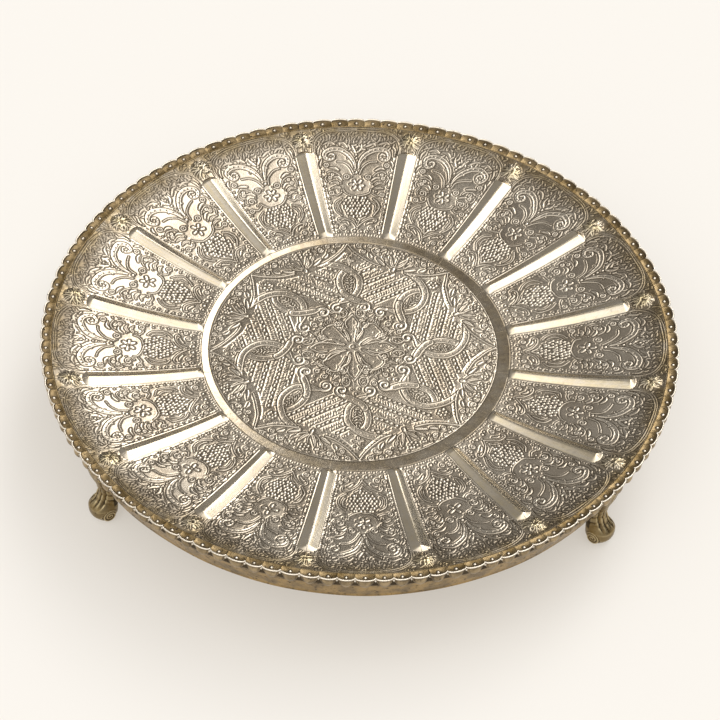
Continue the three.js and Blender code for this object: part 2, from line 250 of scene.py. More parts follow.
# One panel's chasing, to the right of its axis, as lengths across and out
GREAT_SCROLL = [(0.7, 122.8), (1.7, 127.0), (4.0, 131.0), (7.4, 133.8), (11.2, 134.9), (14.3, 134.3), (16.2, 132.2),
                (16.0, 129.5), (14.2, 128.1), (12.2, 128.8), (11.8, 130.7), (13.1, 131.8), (14.3, 130.9)]
ARCH = [(21.2, 131.5), (21.7, 135.2), (20.9, 139.3), (18.2, 142.6), (13.4, 145.0), (7.0, 146.1), (0, 146.4)]
PANEL_LINES = [
    [(0, 105.6), (3.4, 106.2), (6.0, 108.0), (7.0, 110.2)],
    [(7.6, 107.8), (9.6, 106.4), (11.4, 106.6)],
    [(8.0, 104.2), (10.5, 101.8), (11.1, 98.6), (10.2, 95.4), (7.8, 92.9)],
    [(7.6, 102.2), (9.0, 100.2), (9.2, 97.8), (8.3, 95.6)],
    [(0.3, 85.4), (2.4, 88.4), (5.4, 90.7), (8.2, 91.1), (9.6, 90.0), (8.8, 88.8)],
    [(0.2, 88.4), (1.6, 90.8), (3.9, 92.4)],
    [(1.6, 119.8), (3.3, 124.0), (6.6, 126.5), (10.2, 127.2)],
    [(8.4, 118.4), (10.2, 120.4), (13.0, 121.2), (14.8, 120.0)],
    [(14.8, 114.6), (15.9, 116.4), (15.4, 118.2)],
]
PANEL_LEAVES = [
    [(9.4, 121.8), (11.8, 123.2), (14.4, 122.8), 0.6],
    [(7.6, 115.6), (9.6, 117.4), (12.0, 117.2), 0.6],
    [(4.2, 87.0), (6.0, 88.6), (7.6, 88.6), 0.5],
    [(0.4, 132.8), (2.2, 135.4), (2.6, 138.4), 0.7],
    [(4.8, 136.2), (7.4, 138.4), (10.6, 139.0), 0.7],
    [(11.4, 137.6), (14.2, 138.6), (17.2, 137.0), 0.7],
    [(18.6, 136.4), (19.6, 134.0), (19.4, 130.6), 0.5],
    [(17.4, 127.6), (18.4, 125.4), (18.2, 123.2), 0.5],
]
PANEL_RINGS = [(12.7, 106.8, 1.1), (5.3, 118.0, 1.3), (15.2, 124.8, 1.1), (13.2, 117.0, 0.8), (12.4, 119.2, 0.7),
               (6.9, 84.6, 0.95), (10.4, 85.6, 0.75)]
PANEL_BEADS = [(0, 120.8, 0.8), (1.9, 82.6, 0.8), (4.6, 82.2, 0.6), (0, 84.0, 0.5), (9.4, 82.4, 0.55), (11.6, 88.2, 0.6),
               (12.3, 91.2, 0.55), (12.9, 94.2, 0.5), (13.2, 97.4, 0.45), (13.5, 101.0, 0.5), (14.0, 104.0, 0.45),
               (0, 126.6, 0.5), (0, 129.0, 0.6), (0, 131.4, 0.7), (0, 136.0, 0.7), (1.3, 133.6, 0.45), (0, 139.2, 0.6),
               (0, 145.0, 0.7), (16.9, 120.6, 0.5), (17.3, 117.6, 0.45), (15.8, 111.4, 0.5), (15.2, 108.8, 0.45),
               (8.0, 113.8, 0.4), (9.2, 109.2, 0.5), (4.6, 129.4, 0.4), (2.6, 117.8, 0.35)]
SEED_HALF = ([90.6, 93, 95, 97.5, 100, 102.5, 104.6], [0.6, 3.4, 5.6, 6.8, 6.9, 6.4, 5.4])


def rib_half(radius):
    """Half of a rib's width at a radius."""
    return np.interp(radius, [RING_R, RIB_END], [RIB_INNER, RIB_OUTER])


def sprigs(chaser):
    """Small work that isn't the same on both sides: a curl or leaves by the flower and under the scroll."""
    if chaser.rng.random() < 0.5:
        chaser.scroll((10.6, 112.2), 2.0, 0.5, 200, -1.3, (0.4, 0.34))
        chaser.line([(12.9, 110.6), (13.9, 112.4), (13.3, 114.4)], 0.32)
    else:
        chaser.leaf([(8.6, 110.6), (10.8, 111.4), (13.2, 110.4)], 0.7)
        chaser.leaf([(9.0, 113.0), (11.2, 114.2), (13.8, 113.4)], 0.7)


def edge_work(chaser):
    """Dots between two fine lines along the rib, and the two lines of the arch."""
    lean = PANEL_ANGLE / 2
    out = np.arange(81.2, 134.5, 1.3)
    for inset in (0.5, 2.1):
        across = out * math.tan(lean) - (rib_half(out) + inset) / math.cos(lean)
        chaser.relief.line(chaser.at(np.stack([across, out], axis=1), 0.03), 0.24, 0.24, False)
    for y in out:
        chaser.dot(y * math.tan(lean) - (rib_half(y) + 1.3) / math.cos(lean), y, 0.36, 0.4)
    for grow, width in ((1.0, 0.36), (1.04, 0.28)):
        arch = np.array([0, 122.0]) + (np.array(ARCH) - [0, 122.0]) * grow
        chaser.relief.line(smooth(chaser.at(arch, 0.1)), width, 0.32)


def great_scroll(chaser):
    """A band with a row of dots that curls over a crescent."""
    relief = chaser.relief
    path = smooth(chaser.at(GREAT_SCROLL, 0.18))
    t = np.linspace(0, 1, len(path))
    relief.ribbon(path, np.interp(t, [0, 0.15, 0.35, 0.65, 1], [0.5, 1.2, 1.5, 0.9, 0.42]), 0.14, 0.26)
    curl = path[int(0.56 * len(path)):]
    relief.line(curl, np.linspace(0.7, 0.42, len(curl)), 0.44)
    for x, y in path[9:-14:5]:
        relief.punch(x, y, 0.34, 0.42)


def small_leaves(chaser):
    """Short curved leaves close together on the ground outside the great scrolls."""
    for y in np.arange(135.2, 147.0, 2.1):
        for x in np.arange(1.2, 22.5, 2.6):
            lean = chaser.rng.uniform(0.3, 2.8)
            way = 0.95 * np.array([math.cos(lean), math.sin(lean)])
            bend = np.array([-way[1], way[0]]) * chaser.rng.uniform(-0.5, 0.5)
            place = np.array([x, y]) + chaser.rng.uniform(-0.4, 0.4, 2)
            if chaser.relief.free(*chaser.at([place], 0)[0]) > 0.5:
                chaser.leaf([place - way, place + bend, place + way], 0.42, 0.32, False)


def panel_relief(seed):
    """One panel's chasing: a pine of seeds below, a flower in a cup, great scrolls and leaves above."""
    relief = Relief((-32.0, 76.0), (32.0, 152.0))
    chaser = Chaser(relief, seed, 0.2)
    for side in (1, -1):
        chaser.mirror(side)
        great_scroll(chaser)
        for points in PANEL_LINES:
            chaser.line(points, 0.33, 0.34)
        for *points, width in PANEL_LEAVES:
            chaser.leaf(points, width, 0.24, False)
        for x, y, radius in PANEL_RINGS:
            chaser.ring(x, y, radius, 0.36)
        for x, y, radius in PANEL_BEADS:
            if x or side > 0:
                chaser.bead(x, y, radius)
        sprigs(chaser)
        edge_work(chaser)
    petals = chaser.rng.integers(4, 7)
    for turn in (np.arange(petals) / petals + chaser.rng.uniform(0, 0.5 / petals)) * 2 * math.pi:
        way = np.array([math.sin(turn), math.cos(turn)])
        chaser.bead(*((0, 112.8) + 2.4 * way), 0.85, 0.36, 1.3, way)
    chaser.bead(0, 112.8, 0.5, 0.5)
    for row, y in enumerate(np.arange(90.8, 104.6, 1.72)):
        half = np.interp(y, *SEED_HALF)
        for x in np.arange(-8 + 0.9 * (row % 2), 8, 1.8):
            if abs(x) < half:
                chaser.bead(x, y, 0.72, 0.5, 0.3, (0, 1))
    reach = PANEL_ANGLE / 2 - 3.9 / 80
    for angle in np.arange(-reach, reach, 1.4 / 80):
        chaser.dot(79.9 * math.sin(angle), 79.9 * math.cos(angle), 0.36, 0.35)
    for side in (1, -1):
        chaser.mirror(side)
        small_leaves(chaser)
    return relief, relief.finish()


def boss_relief(seed):
    """The rough patch at a rib's outer end, of thin strokes out from its middle: x across the rib and y out."""
    relief = Relief((-9, 132), (9, 149.5))
    chaser = Chaser(relief, seed, 0.25)
    chaser.mirror(1)
    middle = np.array([0, 141.2])
    for turn in np.arange(0, 360, 13) + chaser.rng.normal(0, 5, 28):
        way = np.array([math.sin(math.radians(turn)), math.cos(math.radians(turn))])
        near, far = chaser.rng.uniform(0.9, 2.4), chaser.rng.uniform(3.6, 6.2)
        bend = np.array([way[1], -way[0]]) * chaser.rng.normal(0, 0.6)
        chaser.line([middle + near * way, middle + 0.5 * (near + far) * way + bend, middle + far * way], 0.3, 0.4)
    for turn in chaser.rng.uniform(0, 2 * math.pi, 4):
        chaser.bead(1.3 * math.cos(turn), 141.2 + 1.3 * math.sin(turn), 0.55, 0.6, 0.5)
    return relief, relief.finish(0.16)


def ellipse_radius(angle, edge):
    """How far an edge that isn't quite round lies from the tray's axis at an angle."""
    (cx, cy), (a, b) = edge
    c, s = np.cos(angle), np.sin(angle)
    qa = (c / a) ** 2 + (s / b) ** 2
    qb = c * cx / a**2 + s * cy / b**2
    qc = (cx / a) ** 2 + (cy / b) ** 2 - 1
    return (qb + np.sqrt(qb**2 - qa * qc)) / qa


def dish(radius):
    on_ring = RING_RISE * np.clip((radius - MEDALLION_R) / (RING_R - MEDALLION_R), 0, 1)
    on_panel = DISH_RISE * np.clip((radius - RING_R) / (SHEET_R - RING_R), 0, 1) ** DISH_CURVE
    return on_ring + on_panel


def swells(x, y, across, radius):
    """The low cushions that the chasing of a panel stands on, and the boss at a rib's end."""
    low = 0
    for cx, cy, wide, long in ((0, 99.6, 13.6, 15), (0, 113.85, 14, 12.4), (10, 130.5, 16.8, 11.4), (-10, 130.5, 16.8, 11.4)):
        low = np.maximum(low, 0.12 * (1 - (2 * (x - cx) / wide) ** 2 - (2 * (y - cy) / long) ** 2))
    return np.maximum(low, 1.1 * (1 - (across / 5.2) ** 2 - ((radius - 141.4) / 5.2) ** 2))


def rib_rise(radius, across):
    """A rib's height over the sheet: a ridge with two plain slopes, rounded at its outer end."""
    half = rib_half(radius)
    past = np.maximum(0, radius - RIB_ROUND) * half / (RIB_END - RIB_ROUND)
    away = np.hypot(across, past)
    round_off = 0.5 + 0.5 * smoothstep(RIB_END - 6, RIB_END, radius)
    slope = (np.hypot(away, round_off) - round_off) / (np.hypot(half, round_off) - round_off)
    inner = np.clip((radius - RING_R + 0.4) / 3.2, 0, 1)
    return RIB_HEIGHT * np.clip(1 - slope, 0, None) * inner


# Making meshes

def new_object(name, co, faces, material, attributes=None, uv=None, flat=()):
    """A mesh from points in millimetres and a list of face arrays, with float attributes on its points."""
    mesh = bpy.data.meshes.new(name)
    mesh.vertices.add(len(co))
    mesh.vertices.foreach_set("co", (np.asarray(co, np.float32) * MM).ravel())
    loops = np.concatenate([f.ravel() for f in faces])
    sizes = np.concatenate([np.full(len(f), f.shape[1]) for f in faces])
    starts = np.concatenate([[0], np.cumsum(sizes)[:-1]])
    mesh.loops.add(len(loops))
    mesh.loops.foreach_set("vertex_index", loops.astype(np.int32))
    mesh.polygons.add(len(sizes))
    mesh.polygons.foreach_set("loop_start", starts.astype(np.int32))
    mesh.update(calc_edges=True)
    mesh.shade_smooth()
    if uv is not None:
        layer = mesh.uv_layers.new(name="OFBake")
        layer.data.foreach_set("uv", np.asarray(uv, np.float32).ravel())
    for key, values in (attributes or {}).items():
        layer = mesh.attributes.new(key, "FLOAT", "POINT")
        layer.data.foreach_set("value", np.asarray(values, np.float32).ravel())
    mesh.materials.append(material)
    piece = bpy.data.objects.new(name, mesh)
    bpy.context.scene.collection.objects.link(piece)
    return piece


def grid_faces(rows, cols, start=0, flip=False):
    index = np.arange(rows * cols).reshape(rows, cols) + start
    quads = np.stack([index[:-1, :-1], index[:-1, 1:], index[1:, 1:], index[1:, :-1]], axis=-1).reshape(-1, 4)
    return quads[:, ::-1] if flip else quads


def rim_loop(rows, cols, start=0):
    """The points round a grid's edge, in order."""
    index = np.arange(rows * cols).reshape(rows, cols) + start
    return np.concatenate([index[0, :-1], index[:-1, -1], index[-1, :0:-1], index[:0:-1, 0]])


def plate(name, top, maps, every, material, thick=SHEET):
    """A closed plate from a fine grid of its upper face, with a plainer face beneath."""
    rows, cols = top.shape[:2]
    under = top[::every, ::every].copy()
    under[..., 2] = maps["base"][::every, ::every] - thick
    urows, ucols = under.shape[:2]
    first = rows * cols
    co = np.concatenate([top.reshape(-1, 3), under.reshape(-1, 3)])
    loop = rim_loop(rows, cols)
    low = rim_loop(urows, ucols, first)
    spans = np.arange(len(loop))
    below = low[spans // every]
    fan = np.stack([np.roll(loop, -1), loop, below], axis=1)
    last = np.arange(len(low))
    close = np.stack([loop[((last + 1) * every) % len(loop)], low, np.roll(low, -1)], axis=1)
    faces = [grid_faces(rows, cols), grid_faces(urows, ucols, first, True), fan, close]
    v, u = np.meshgrid(np.linspace(0.002, 0.88, rows), np.linspace(0.002, 0.998, cols), indexing="ij")
    uv_top = np.stack([u, v], axis=-1).reshape(-1, 2)
    v, u = np.meshgrid(np.linspace(0.90, 0.97, urows), np.linspace(0.002, 0.998, ucols), indexing="ij")
    uv_all = np.concatenate([uv_top, np.stack([u, v], axis=-1).reshape(-1, 2)])
    along = spans / len(loop)
    ahead = (spans + 1) / len(loop)
    level, base = np.full(len(loop), 0.98), np.full(len(loop), 0.99)
    uv_fan = np.stack([np.stack([ahead, level], 1), np.stack([along, level], 1), np.stack([along, base], 1)], axis=1)
    begin, end = last / len(low), (last + 1) / len(low)
    level, base = np.full(len(low), 0.992), np.full(len(low), 0.998)
    uv_close = np.stack([np.stack([end, level], 1), np.stack([begin, base], 1), np.stack([end, base], 1)], axis=1)
    uv = np.concatenate([uv_all[faces[0]].reshape(-1, 2), uv_all[faces[1]].reshape(-1, 2),
                         uv_fan.reshape(-1, 2), uv_close.reshape(-1, 2)])
    plain = np.zeros(urows * ucols)
    attributes = {key: np.concatenate([maps[key].ravel(), plain]) for key in ("dark", "raised", "brass")}
    attributes["under"] = np.concatenate([np.zeros(first), plain + 1])
    return new_object(name, co, faces, material, attributes, uv)


# Materials

class Nodes:
    """A material's nodes, with short calls for the few kinds in use."""

    def __init__(self, name):
        self.material = bpy.data.materials.new(name)
        self.material.use_nodes = True
        self.tree = self.material.node_tree
        self.shader = self.tree.nodes["Principled BSDF"]
        self.place = self.tree.nodes.new("ShaderNodeTexCoord").outputs["Object"]

    def put(self, socket, value):
        if isinstance(value, bpy.types.NodeSocket):
            self.tree.links.new(value, socket)
        else:
            socket.default_value = (*value, 1) if isinstance(value, tuple) and len(value) == 3 else value

    def read(self, name):
        node = self.tree.nodes.new("ShaderNodeAttribute")
        node.attribute_name = name
        return node.outputs["Fac"]

    def noise(self, scale, detail=4.0, rough=0.55, place=None):
        node = self.tree.nodes.new("ShaderNodeTexNoise")
        self.tree.links.new(place or self.place, node.inputs["Vector"])
        node.inputs["Scale"].default_value = scale
        node.inputs["Detail"].default_value = detail
        node.inputs["Roughness"].default_value = rough
        return node.outputs["Fac"]

    def stretch(self, x, y, z):
        node = self.tree.nodes.new("ShaderNodeMapping")
        self.tree.links.new(self.place, node.inputs["Vector"])
        node.inputs["Scale"].default_value = (x, y, z)
        return node.outputs["Vector"]

    def ramp(self, value, low, high, to_low=0.0, to_high=1.0):
        node = self.tree.nodes.new("ShaderNodeMapRange")
        node.interpolation_type = "SMOOTHSTEP"
        for key, item in zip(("Value", "From Min", "From Max", "To Min", "To Max"), (value, low, high, to_low, to_high)):
            self.put(node.inputs[key], item)
        return node.outputs["Result"]

    def math(self, kind, a, b):
        node = self.tree.nodes.new("ShaderNodeMath")
        node.operation = kind
        node.use_clamp = kind in ("ADD", "SUBTRACT")
        self.put(node.inputs[0], a)
        self.put(node.inputs[1], b)
        return node.outputs[0]

    def mix(self, amount, a, b):
        node = self.tree.nodes.new("ShaderNodeMix")
        node.data_type = "RGBA"
        self.put(node.inputs["Factor"], amount)
        self.put(node.inputs["A"], a)
        self.put(node.inputs["B"], b)
        return node.outputs["Result"]

    def bump(self, height, strength, distance):
        node = self.tree.nodes.new("ShaderNodeBump")
        node.inputs["Strength"].default_value = strength
        node.inputs["Distance"].default_value = distance
        self.put(node.inputs["Height"], height)
        self.put(self.shader.inputs["Normal"], node.outputs["Normal"])

    def done(self, colour, roughness, metallic=1.0):
        self.put(self.shader.inputs["Base Color"], colour)
        self.put(self.shader.inputs["Roughness"], roughness)
        self.put(self.shader.inputs["Metallic"], metallic)
        return self.material


SILVER = (0.53, 0.465, 0.375)
SILVER_BRIGHT = (0.82, 0.75, 0.64)
SILVER_DULL = (0.40, 0.335, 0.255)
BRASS = (0.48, 0.36, 0.185)
BRASS_BRIGHT = (0.72, 0.60, 0.36)
BRASS_DARK = (0.20, 0.132, 0.048)
PATINA_AND_SHADE = (0.05, 0.038, 0.025)
CHASED_DARK_AND_SHADE = (0.058, 0.045, 0.03)


def silvered():
    n = Nodes("silvered_brass")
    dark, raised, brass, under = (n.read(key) for key in ("dark", "raised", "brass", "under"))
    patches = n.noise(45, 5)
    fine = n.noise(420, 4)
    grain = n.noise(2600, 3)
    base = n.mix(n.ramp(patches, 0.35, 0.68), SILVER, SILVER_DULL)
    # Raised forms and ribs are mixed towards paler silver and gilt: partly high points rubbed bright, partly painted
    # highlight.
    base = n.mix(n.math("MULTIPLY", raised, 0.5), base, SILVER_BRIGHT)
    wear = n.math("MULTIPLY", brass, n.ramp(n.noise(160, 5), 0.30, 0.62, 0.25, 1.0))
    gilt = n.mix(raised, n.mix(n.ramp(fine, 0.4, 0.65), BRASS, BRASS_DARK), BRASS_BRIGHT)
    base = n.mix(wear, base, gilt)
    base = n.mix(under, base, n.mix(n.ramp(fine, 0.4, 0.7), BRASS, BRASS_DARK))
    stain = n.ramp(fine, 0.62, 0.8, 0.0, 0.35)
    # hollow, from the dark attribute, is patina in the chased lines plus painted shade on the sheet's outer zone beside
    # the border; stain is random staining.
    hollow = n.math("ADD", n.math("MULTIPLY", dark, n.ramp(patches, 0.3, 0.7, 0.9, 1.0)), stain)
    base = n.mix(hollow, base, CHASED_DARK_AND_SHADE)
    rough = n.math("ADD", n.ramp(grain, 0.3, 0.7, 0.17, 0.25), n.math("MULTIPLY", hollow, 0.25))
    n.bump(n.math("ADD", n.math("MULTIPLY", grain, 0.35), n.math("MULTIPLY", fine, 0.65)), 0.35, 0.00022)
    return n.done(base, rough)


def worn_and_shaded_brass(name, flecks, light, bright, shade_and_patina):
    n = Nodes(name)
    dark, raised = n.read("dark"), n.read("raised")
    patches = n.noise(140, 5, 0.65)
    fine = n.noise(520, 5, 0.65)
    grain = n.noise(2200, 3)
    base = n.mix(n.ramp(patches, 0.35, 0.65), light, BRASS_DARK)
    # Raised parts are mixed towards the bright colour: partly rubbed metal, partly painted highlight on the lip, beads
    # and the feet's bulges.
    base = n.mix(n.math("MULTIPLY", raised, 0.9), base, bright)
    # hollow is patina in the hollows plus painted shade under the lip, under the border and in the feet, with random
    # flecks.
    hollow = n.math("ADD", n.math("MULTIPLY", dark, shade_and_patina), n.ramp(fine, flecks, flecks + 0.14, 0.0, 0.85))
    base = n.mix(hollow, base, PATINA_AND_SHADE)
    rough = n.math("ADD", n.ramp(grain, 0.3, 0.7, 0.28, 0.4), n.math("MULTIPLY", hollow, 0.22))
    n.bump(n.math("ADD", n.math("MULTIPLY", grain, 0.4), n.math("MULTIPLY", fine, 0.6)), 0.4, 0.0003)
    return n.done(base, rough)


silver = silvered()
border_brass = worn_and_shaded_brass("worn_border", 0.58, (0.50, 0.365, 0.19), SILVER_BRIGHT, 0.95)
band_brass = worn_and_shaded_brass("band_brass", 0.54, (0.43, 0.28, 0.095), BRASS_BRIGHT, 0.9)
foot_brass = worn_and_shaded_brass("cast_brass", 0.6, (0.19, 0.135, 0.065), BRASS_BRIGHT, 0.97)

# Panels

PANEL_COLS = 241
RING_ROWS = 25
PANEL_ROWS = 265


def panel(number):
    relief, maps = panel_relief(100 + number)
    boss, boss_maps = boss_relief(200 + number)
    rng = np.random.default_rng(300 + number)
    middle = number * PANEL_ANGLE
    turn = np.linspace(-PANEL_ANGLE / 2, PANEL_ANGLE / 2, PANEL_COLS)[::-1]
    angle = middle + turn
    inner = ellipse_radius(angle, RING_INNER_EDGE)
    outer = ellipse_radius(angle, RING_OUTER_EDGE)
    on_ring = np.linspace(0, 1, RING_ROWS)[:-1, None]
    on_panel = np.linspace(0, 1, PANEL_ROWS)[:, None]
    radius = np.vstack([inner + (outer - inner) * on_ring, outer + (SHEET_R - outer) * on_panel])
    plain = np.vstack([MEDALLION_R + (RING_R - MEDALLION_R) * on_ring, RING_R + (SHEET_R - RING_R) * on_panel])
    plain = np.repeat(plain, PANEL_COLS, axis=1)
    x, y = plain * np.sin(-turn), plain * np.cos(turn)
    across = plain * np.sin(PANEL_ANGLE / 2 - np.abs(turn))
    rise, dark, raised = np.moveaxis(relief.sample(maps, x, y), -1, 0)
    field = smoothstep(0.1, 0.4, across - rib_half(plain)) * smoothstep(RING_R + 0.1, RING_R + 0.4, plain)
    field = np.where(plain > RIB_END - 1, smoothstep(RING_R, RING_R + 0.4, plain), field)
    at_boss = smoothstep(7.0, 4.6, np.hypot(across, plain - 141.3))
    b_rise, b_dark, b_raised = np.moveaxis(boss.sample(boss_maps, across, plain), -1, 0)
    rise = 0.8 * rise * field * (1 - at_boss) + b_rise * at_boss
    dark = dark * field * (1 - at_boss) + b_dark * at_boss
    raised = raised * field * (1 - at_boss) + b_raised * at_boss
    on_rib = smoothstep(0.4, -0.4, across - rib_half(plain)) * smoothstep(RIB_END, RIB_END - 2, plain)
    on_rib = on_rib * smoothstep(RING_R - 0.5, RING_R + 2, plain)
    ring_zone = smoothstep(RING_R + 0.4, RING_R - 0.4, plain)
    line = np.exp(-(((plain - RING_R) / 0.35) ** 2)) + np.exp(-(((plain - MEDALLION_R - 0.2) / 0.4) ** 2))
    dark = np.clip(dark + 0.75 * line * (1 - on_rib) + 0.5 * on_rib * (across > rib_half(plain) - 0.3), 0, 1)
    # Ribs take the pale raised colour, partly a painted highlight; past about 133 mm the raised forms lose that colour.
    raised = np.maximum(raised, 0.75 * on_rib) * (1 - 0.7 * smoothstep(133, 139, plain) * (1 - at_boss))
    edge_wear = smoothstep(139.5, 147.5, plain) * 0.9
    # Painted shade: the sheet's outer zone beside the border is made darker.
    dark = np.maximum(dark, 0.7 * smoothstep(133, 143, plain) * (1 - 0.5 * at_boss) * (1 - 0.75 * raised))
    streak = np.interp(np.sign(turn) * across, np.linspace(-5, 5, 26), rng.uniform(0.05, 0.6, 26))
    near_boss = np.exp(-((across / 6.5) ** 2) - ((plain - 141.4) / 5.5) ** 2)
    brass = np.clip(np.maximum.reduce([edge_wear, near_boss, on_rib * streak, ring_zone * 0.4]), 0, 1)
    base = MEDALLION_Z + dish(plain) + rib_rise(plain, across) + swells(x, y, across, plain)
    z = base + rise - 0.12 * line * (1 - on_rib)
    top = np.stack([radius * np.cos(angle), radius * np.sin(angle), z], axis=-1)
    found = {"dark": dark, "raised": raised, "brass": brass, "base": base}
    piece = plate(f"tray_panel_{number + 1}", top, found, 8, silver)
    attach(piece, "root")
    return piece


panels = [panel(number) for number in range(PANELS)]

# The medallion

PATTERN_R = 71.3
PATTERN_TURN = math.radians(1.5)

# The medallion's chasing, as lengths along and across the axis of each eighth
STAR_SIDE = [(70.6, 0), (66.6, 2.5), (62.9, 5.5), (59.6, 8.9), (57.1, 12.3), (55.2, 15.8)]
BAND_A = [(55.2, 15.4), (56.2, 11.0), (55.9, 6.4), (54.0, 1.8), (50.6, -2.2), (46.4, -4.5), (42.2, -4.8),
          (38.2, -3.8), (34.9, -1.2), (32.6, 2.2), (30.9, 5.6)]
BAND_B = [(52.8, 1.4), (49.6, 4.1), (45.2, 5.2), (40.8, 4.9), (36.6, 3.0), (33.4, -0.6), (31.4, -4.0), (29.9, -6.9)]
BAND_HALF = 1.75
LENS_RINGS = [(67.5, 17.0, 1.0), (66.2, 22.3, 1.2), (63.2, 18.2, 0.95)]
LENS_BEADS = [(66.9, 5.2, 0.72), (66.1, 6.8, 0.72), (67.5, 6.7, 0.62), (64.6, 9.8, 0.55), (69.2, 3.2, 0.45),
              (65.0, 20.3, 0.5), (69.0, 14.4, 0.42)]
LENS_LEAVES = [(58.4, 0.7, 61.4, 2.9, 65.4, 4.5), (61.2, 5.0, 63.0, 7.2, 65.0, 8.2), (68.6, 8.2, 67.4, 9.6, 66.0, 10.4),
               (64.2, 15.4, 65.2, 17.2, 65.2, 19.0), (69.0, 10.4, 69.6, 12.0, 69.4, 13.6)]
ROW_STARTS = {0: (27.1, 33.4, 40.2, 47.0, 53.6), 90: (24.6, 31.2, 39.4, 48.2)}
ROW_SLOPES = {0: 0.26, 90: 0.52}
ROW_PITCH = 2.6


def loop(chaser):
    """Two bands that cross twice about an eye and end in scrolls."""
    relief = chaser.relief
    slip = 0.12
    a, b = smooth(chaser.at(BAND_A, slip), 8), smooth(chaser.at(BAND_B, slip), 8)
    ta, tb = np.linspace(0, 1, len(a)), np.linspace(0, 1, len(b))
    half_a = BAND_HALF * np.clip(0.15 + ta / 0.16, 0, 1) * np.clip(0.5 + (1 - ta) / 0.2, 0, 1)
    half_b = BAND_HALF * np.clip(0.5 + (1 - tb) / 0.25, 0, 1)
    inner = len(b) // 2
    relief.ribbon(b, half_b)
    relief.ribbon(a, half_a)
    relief.ribbon(b[inner:], half_b[inner:])
    for x, y in np.vstack([a[12:-20:6], b[6:-12:6]]):
        relief.punch(x, y, 0.3, 0.26)
    for side in (1, -1):
        chaser.scroll((27.0, 6.6 * side), 3.4, 0.8, -8 * side, 1.25 * side, (0.9, 0.5))
        chaser.bead(27.0, 6.6 * side, 0.95, 0.55)
    for u in np.arange(38.8, 50.4, 1.7):
        reach = 2.1 - abs(u - 44.4) * 0.26
        for side in (1, -1):
            chaser.line([(u - 0.4, 0.2 + 0.5 * side), (u + 0.4, 0.2 + reach * side)], 0.34)
    chaser.bead(28.8, 0, 0.7)
    chaser.bead(26.2, 1.6, 0.5)
    chaser.bead(26.2, -1.6, 0.5)


def star_tip(chaser, round_flower):
    for points in (STAR_SIDE, [(u, -v) for u, v in STAR_SIDE]):
        side = smooth(chaser.at(points, 0.12))
        chaser.relief.line(side, 0.42, 0.42)
        chaser.relief.line(side[6:] - chaser.axes[0] * 2.7, 0.26, 0.3, False)
        for x, y in side[9::3] - chaser.axes[0] * 1.45:
            chaser.relief.punch(x, y, 0.28, 0.34)
    for turn in range(0, 360, 60 if round_flower else 90):
        c, s = math.cos(math.radians(turn)), math.sin(math.radians(turn))
        if round_flower:
            chaser.bead(58.6 + 1.9 * c, 1.9 * s, 0.85)
        else:
            chaser.leaf([(58.6 + 0.5 * c, 0.5 * s), (58.6 + 1.5 * c, 1.5 * s), (58.6 + 2.8 * c, 2.8 * s)], 0.75)
    for u, v in ((63.2, 0.3), (61.8, 1.9), (61.8, -1.7)):
        chaser.bead(u, v, 0.42, 0.4)


def lens(chaser, cusp):
    """The spray between two tips of the star and the medallion's edge."""
    for side in (1, -1):
        chaser.turn(cusp, side)
        for a, b, c, d, e, f in LENS_LEAVES:
            chaser.leaf([(a, b), (c, d), (e, f)], 0.6 if a > 60 else 0.8)
        chaser.line([(57.8, 1.8), (60.0, 5.0), (63.4, 6.6)], 0.34)
        chaser.leaf([(58.3, 5.4), (59.6, 8.0), (61.2, 10.8)], 0.8, 0.55, False)
        chaser.leaf([(60.6, 12.6), (61.8, 14.2), (63.4, 15.6)], 0.72, 0.55, False)
        chaser.scroll((66.7, 12.6), 1.7, 0.5, 120, 1.3, (0.4, 0.4))
        for u, v, radius in LENS_RINGS:
            chaser.ring(u, v, radius)
        for u, v, radius in LENS_BEADS:
            chaser.bead(u, v, radius, 0.45)
    chaser.bead(56.9, 0, 0.95, 0.6, 1.2)
    chaser.line([(58.4, 0), (61.2, 0.2), (64.2, 0)], 0.34)
    for turn in range(0, 360, 60):
        chaser.bead(67.0 + 1.85 * math.cos(math.radians(turn)), 1.85 * math.sin(math.radians(turn)), 0.75)
    chaser.bead(67.0, 0, 0.6)


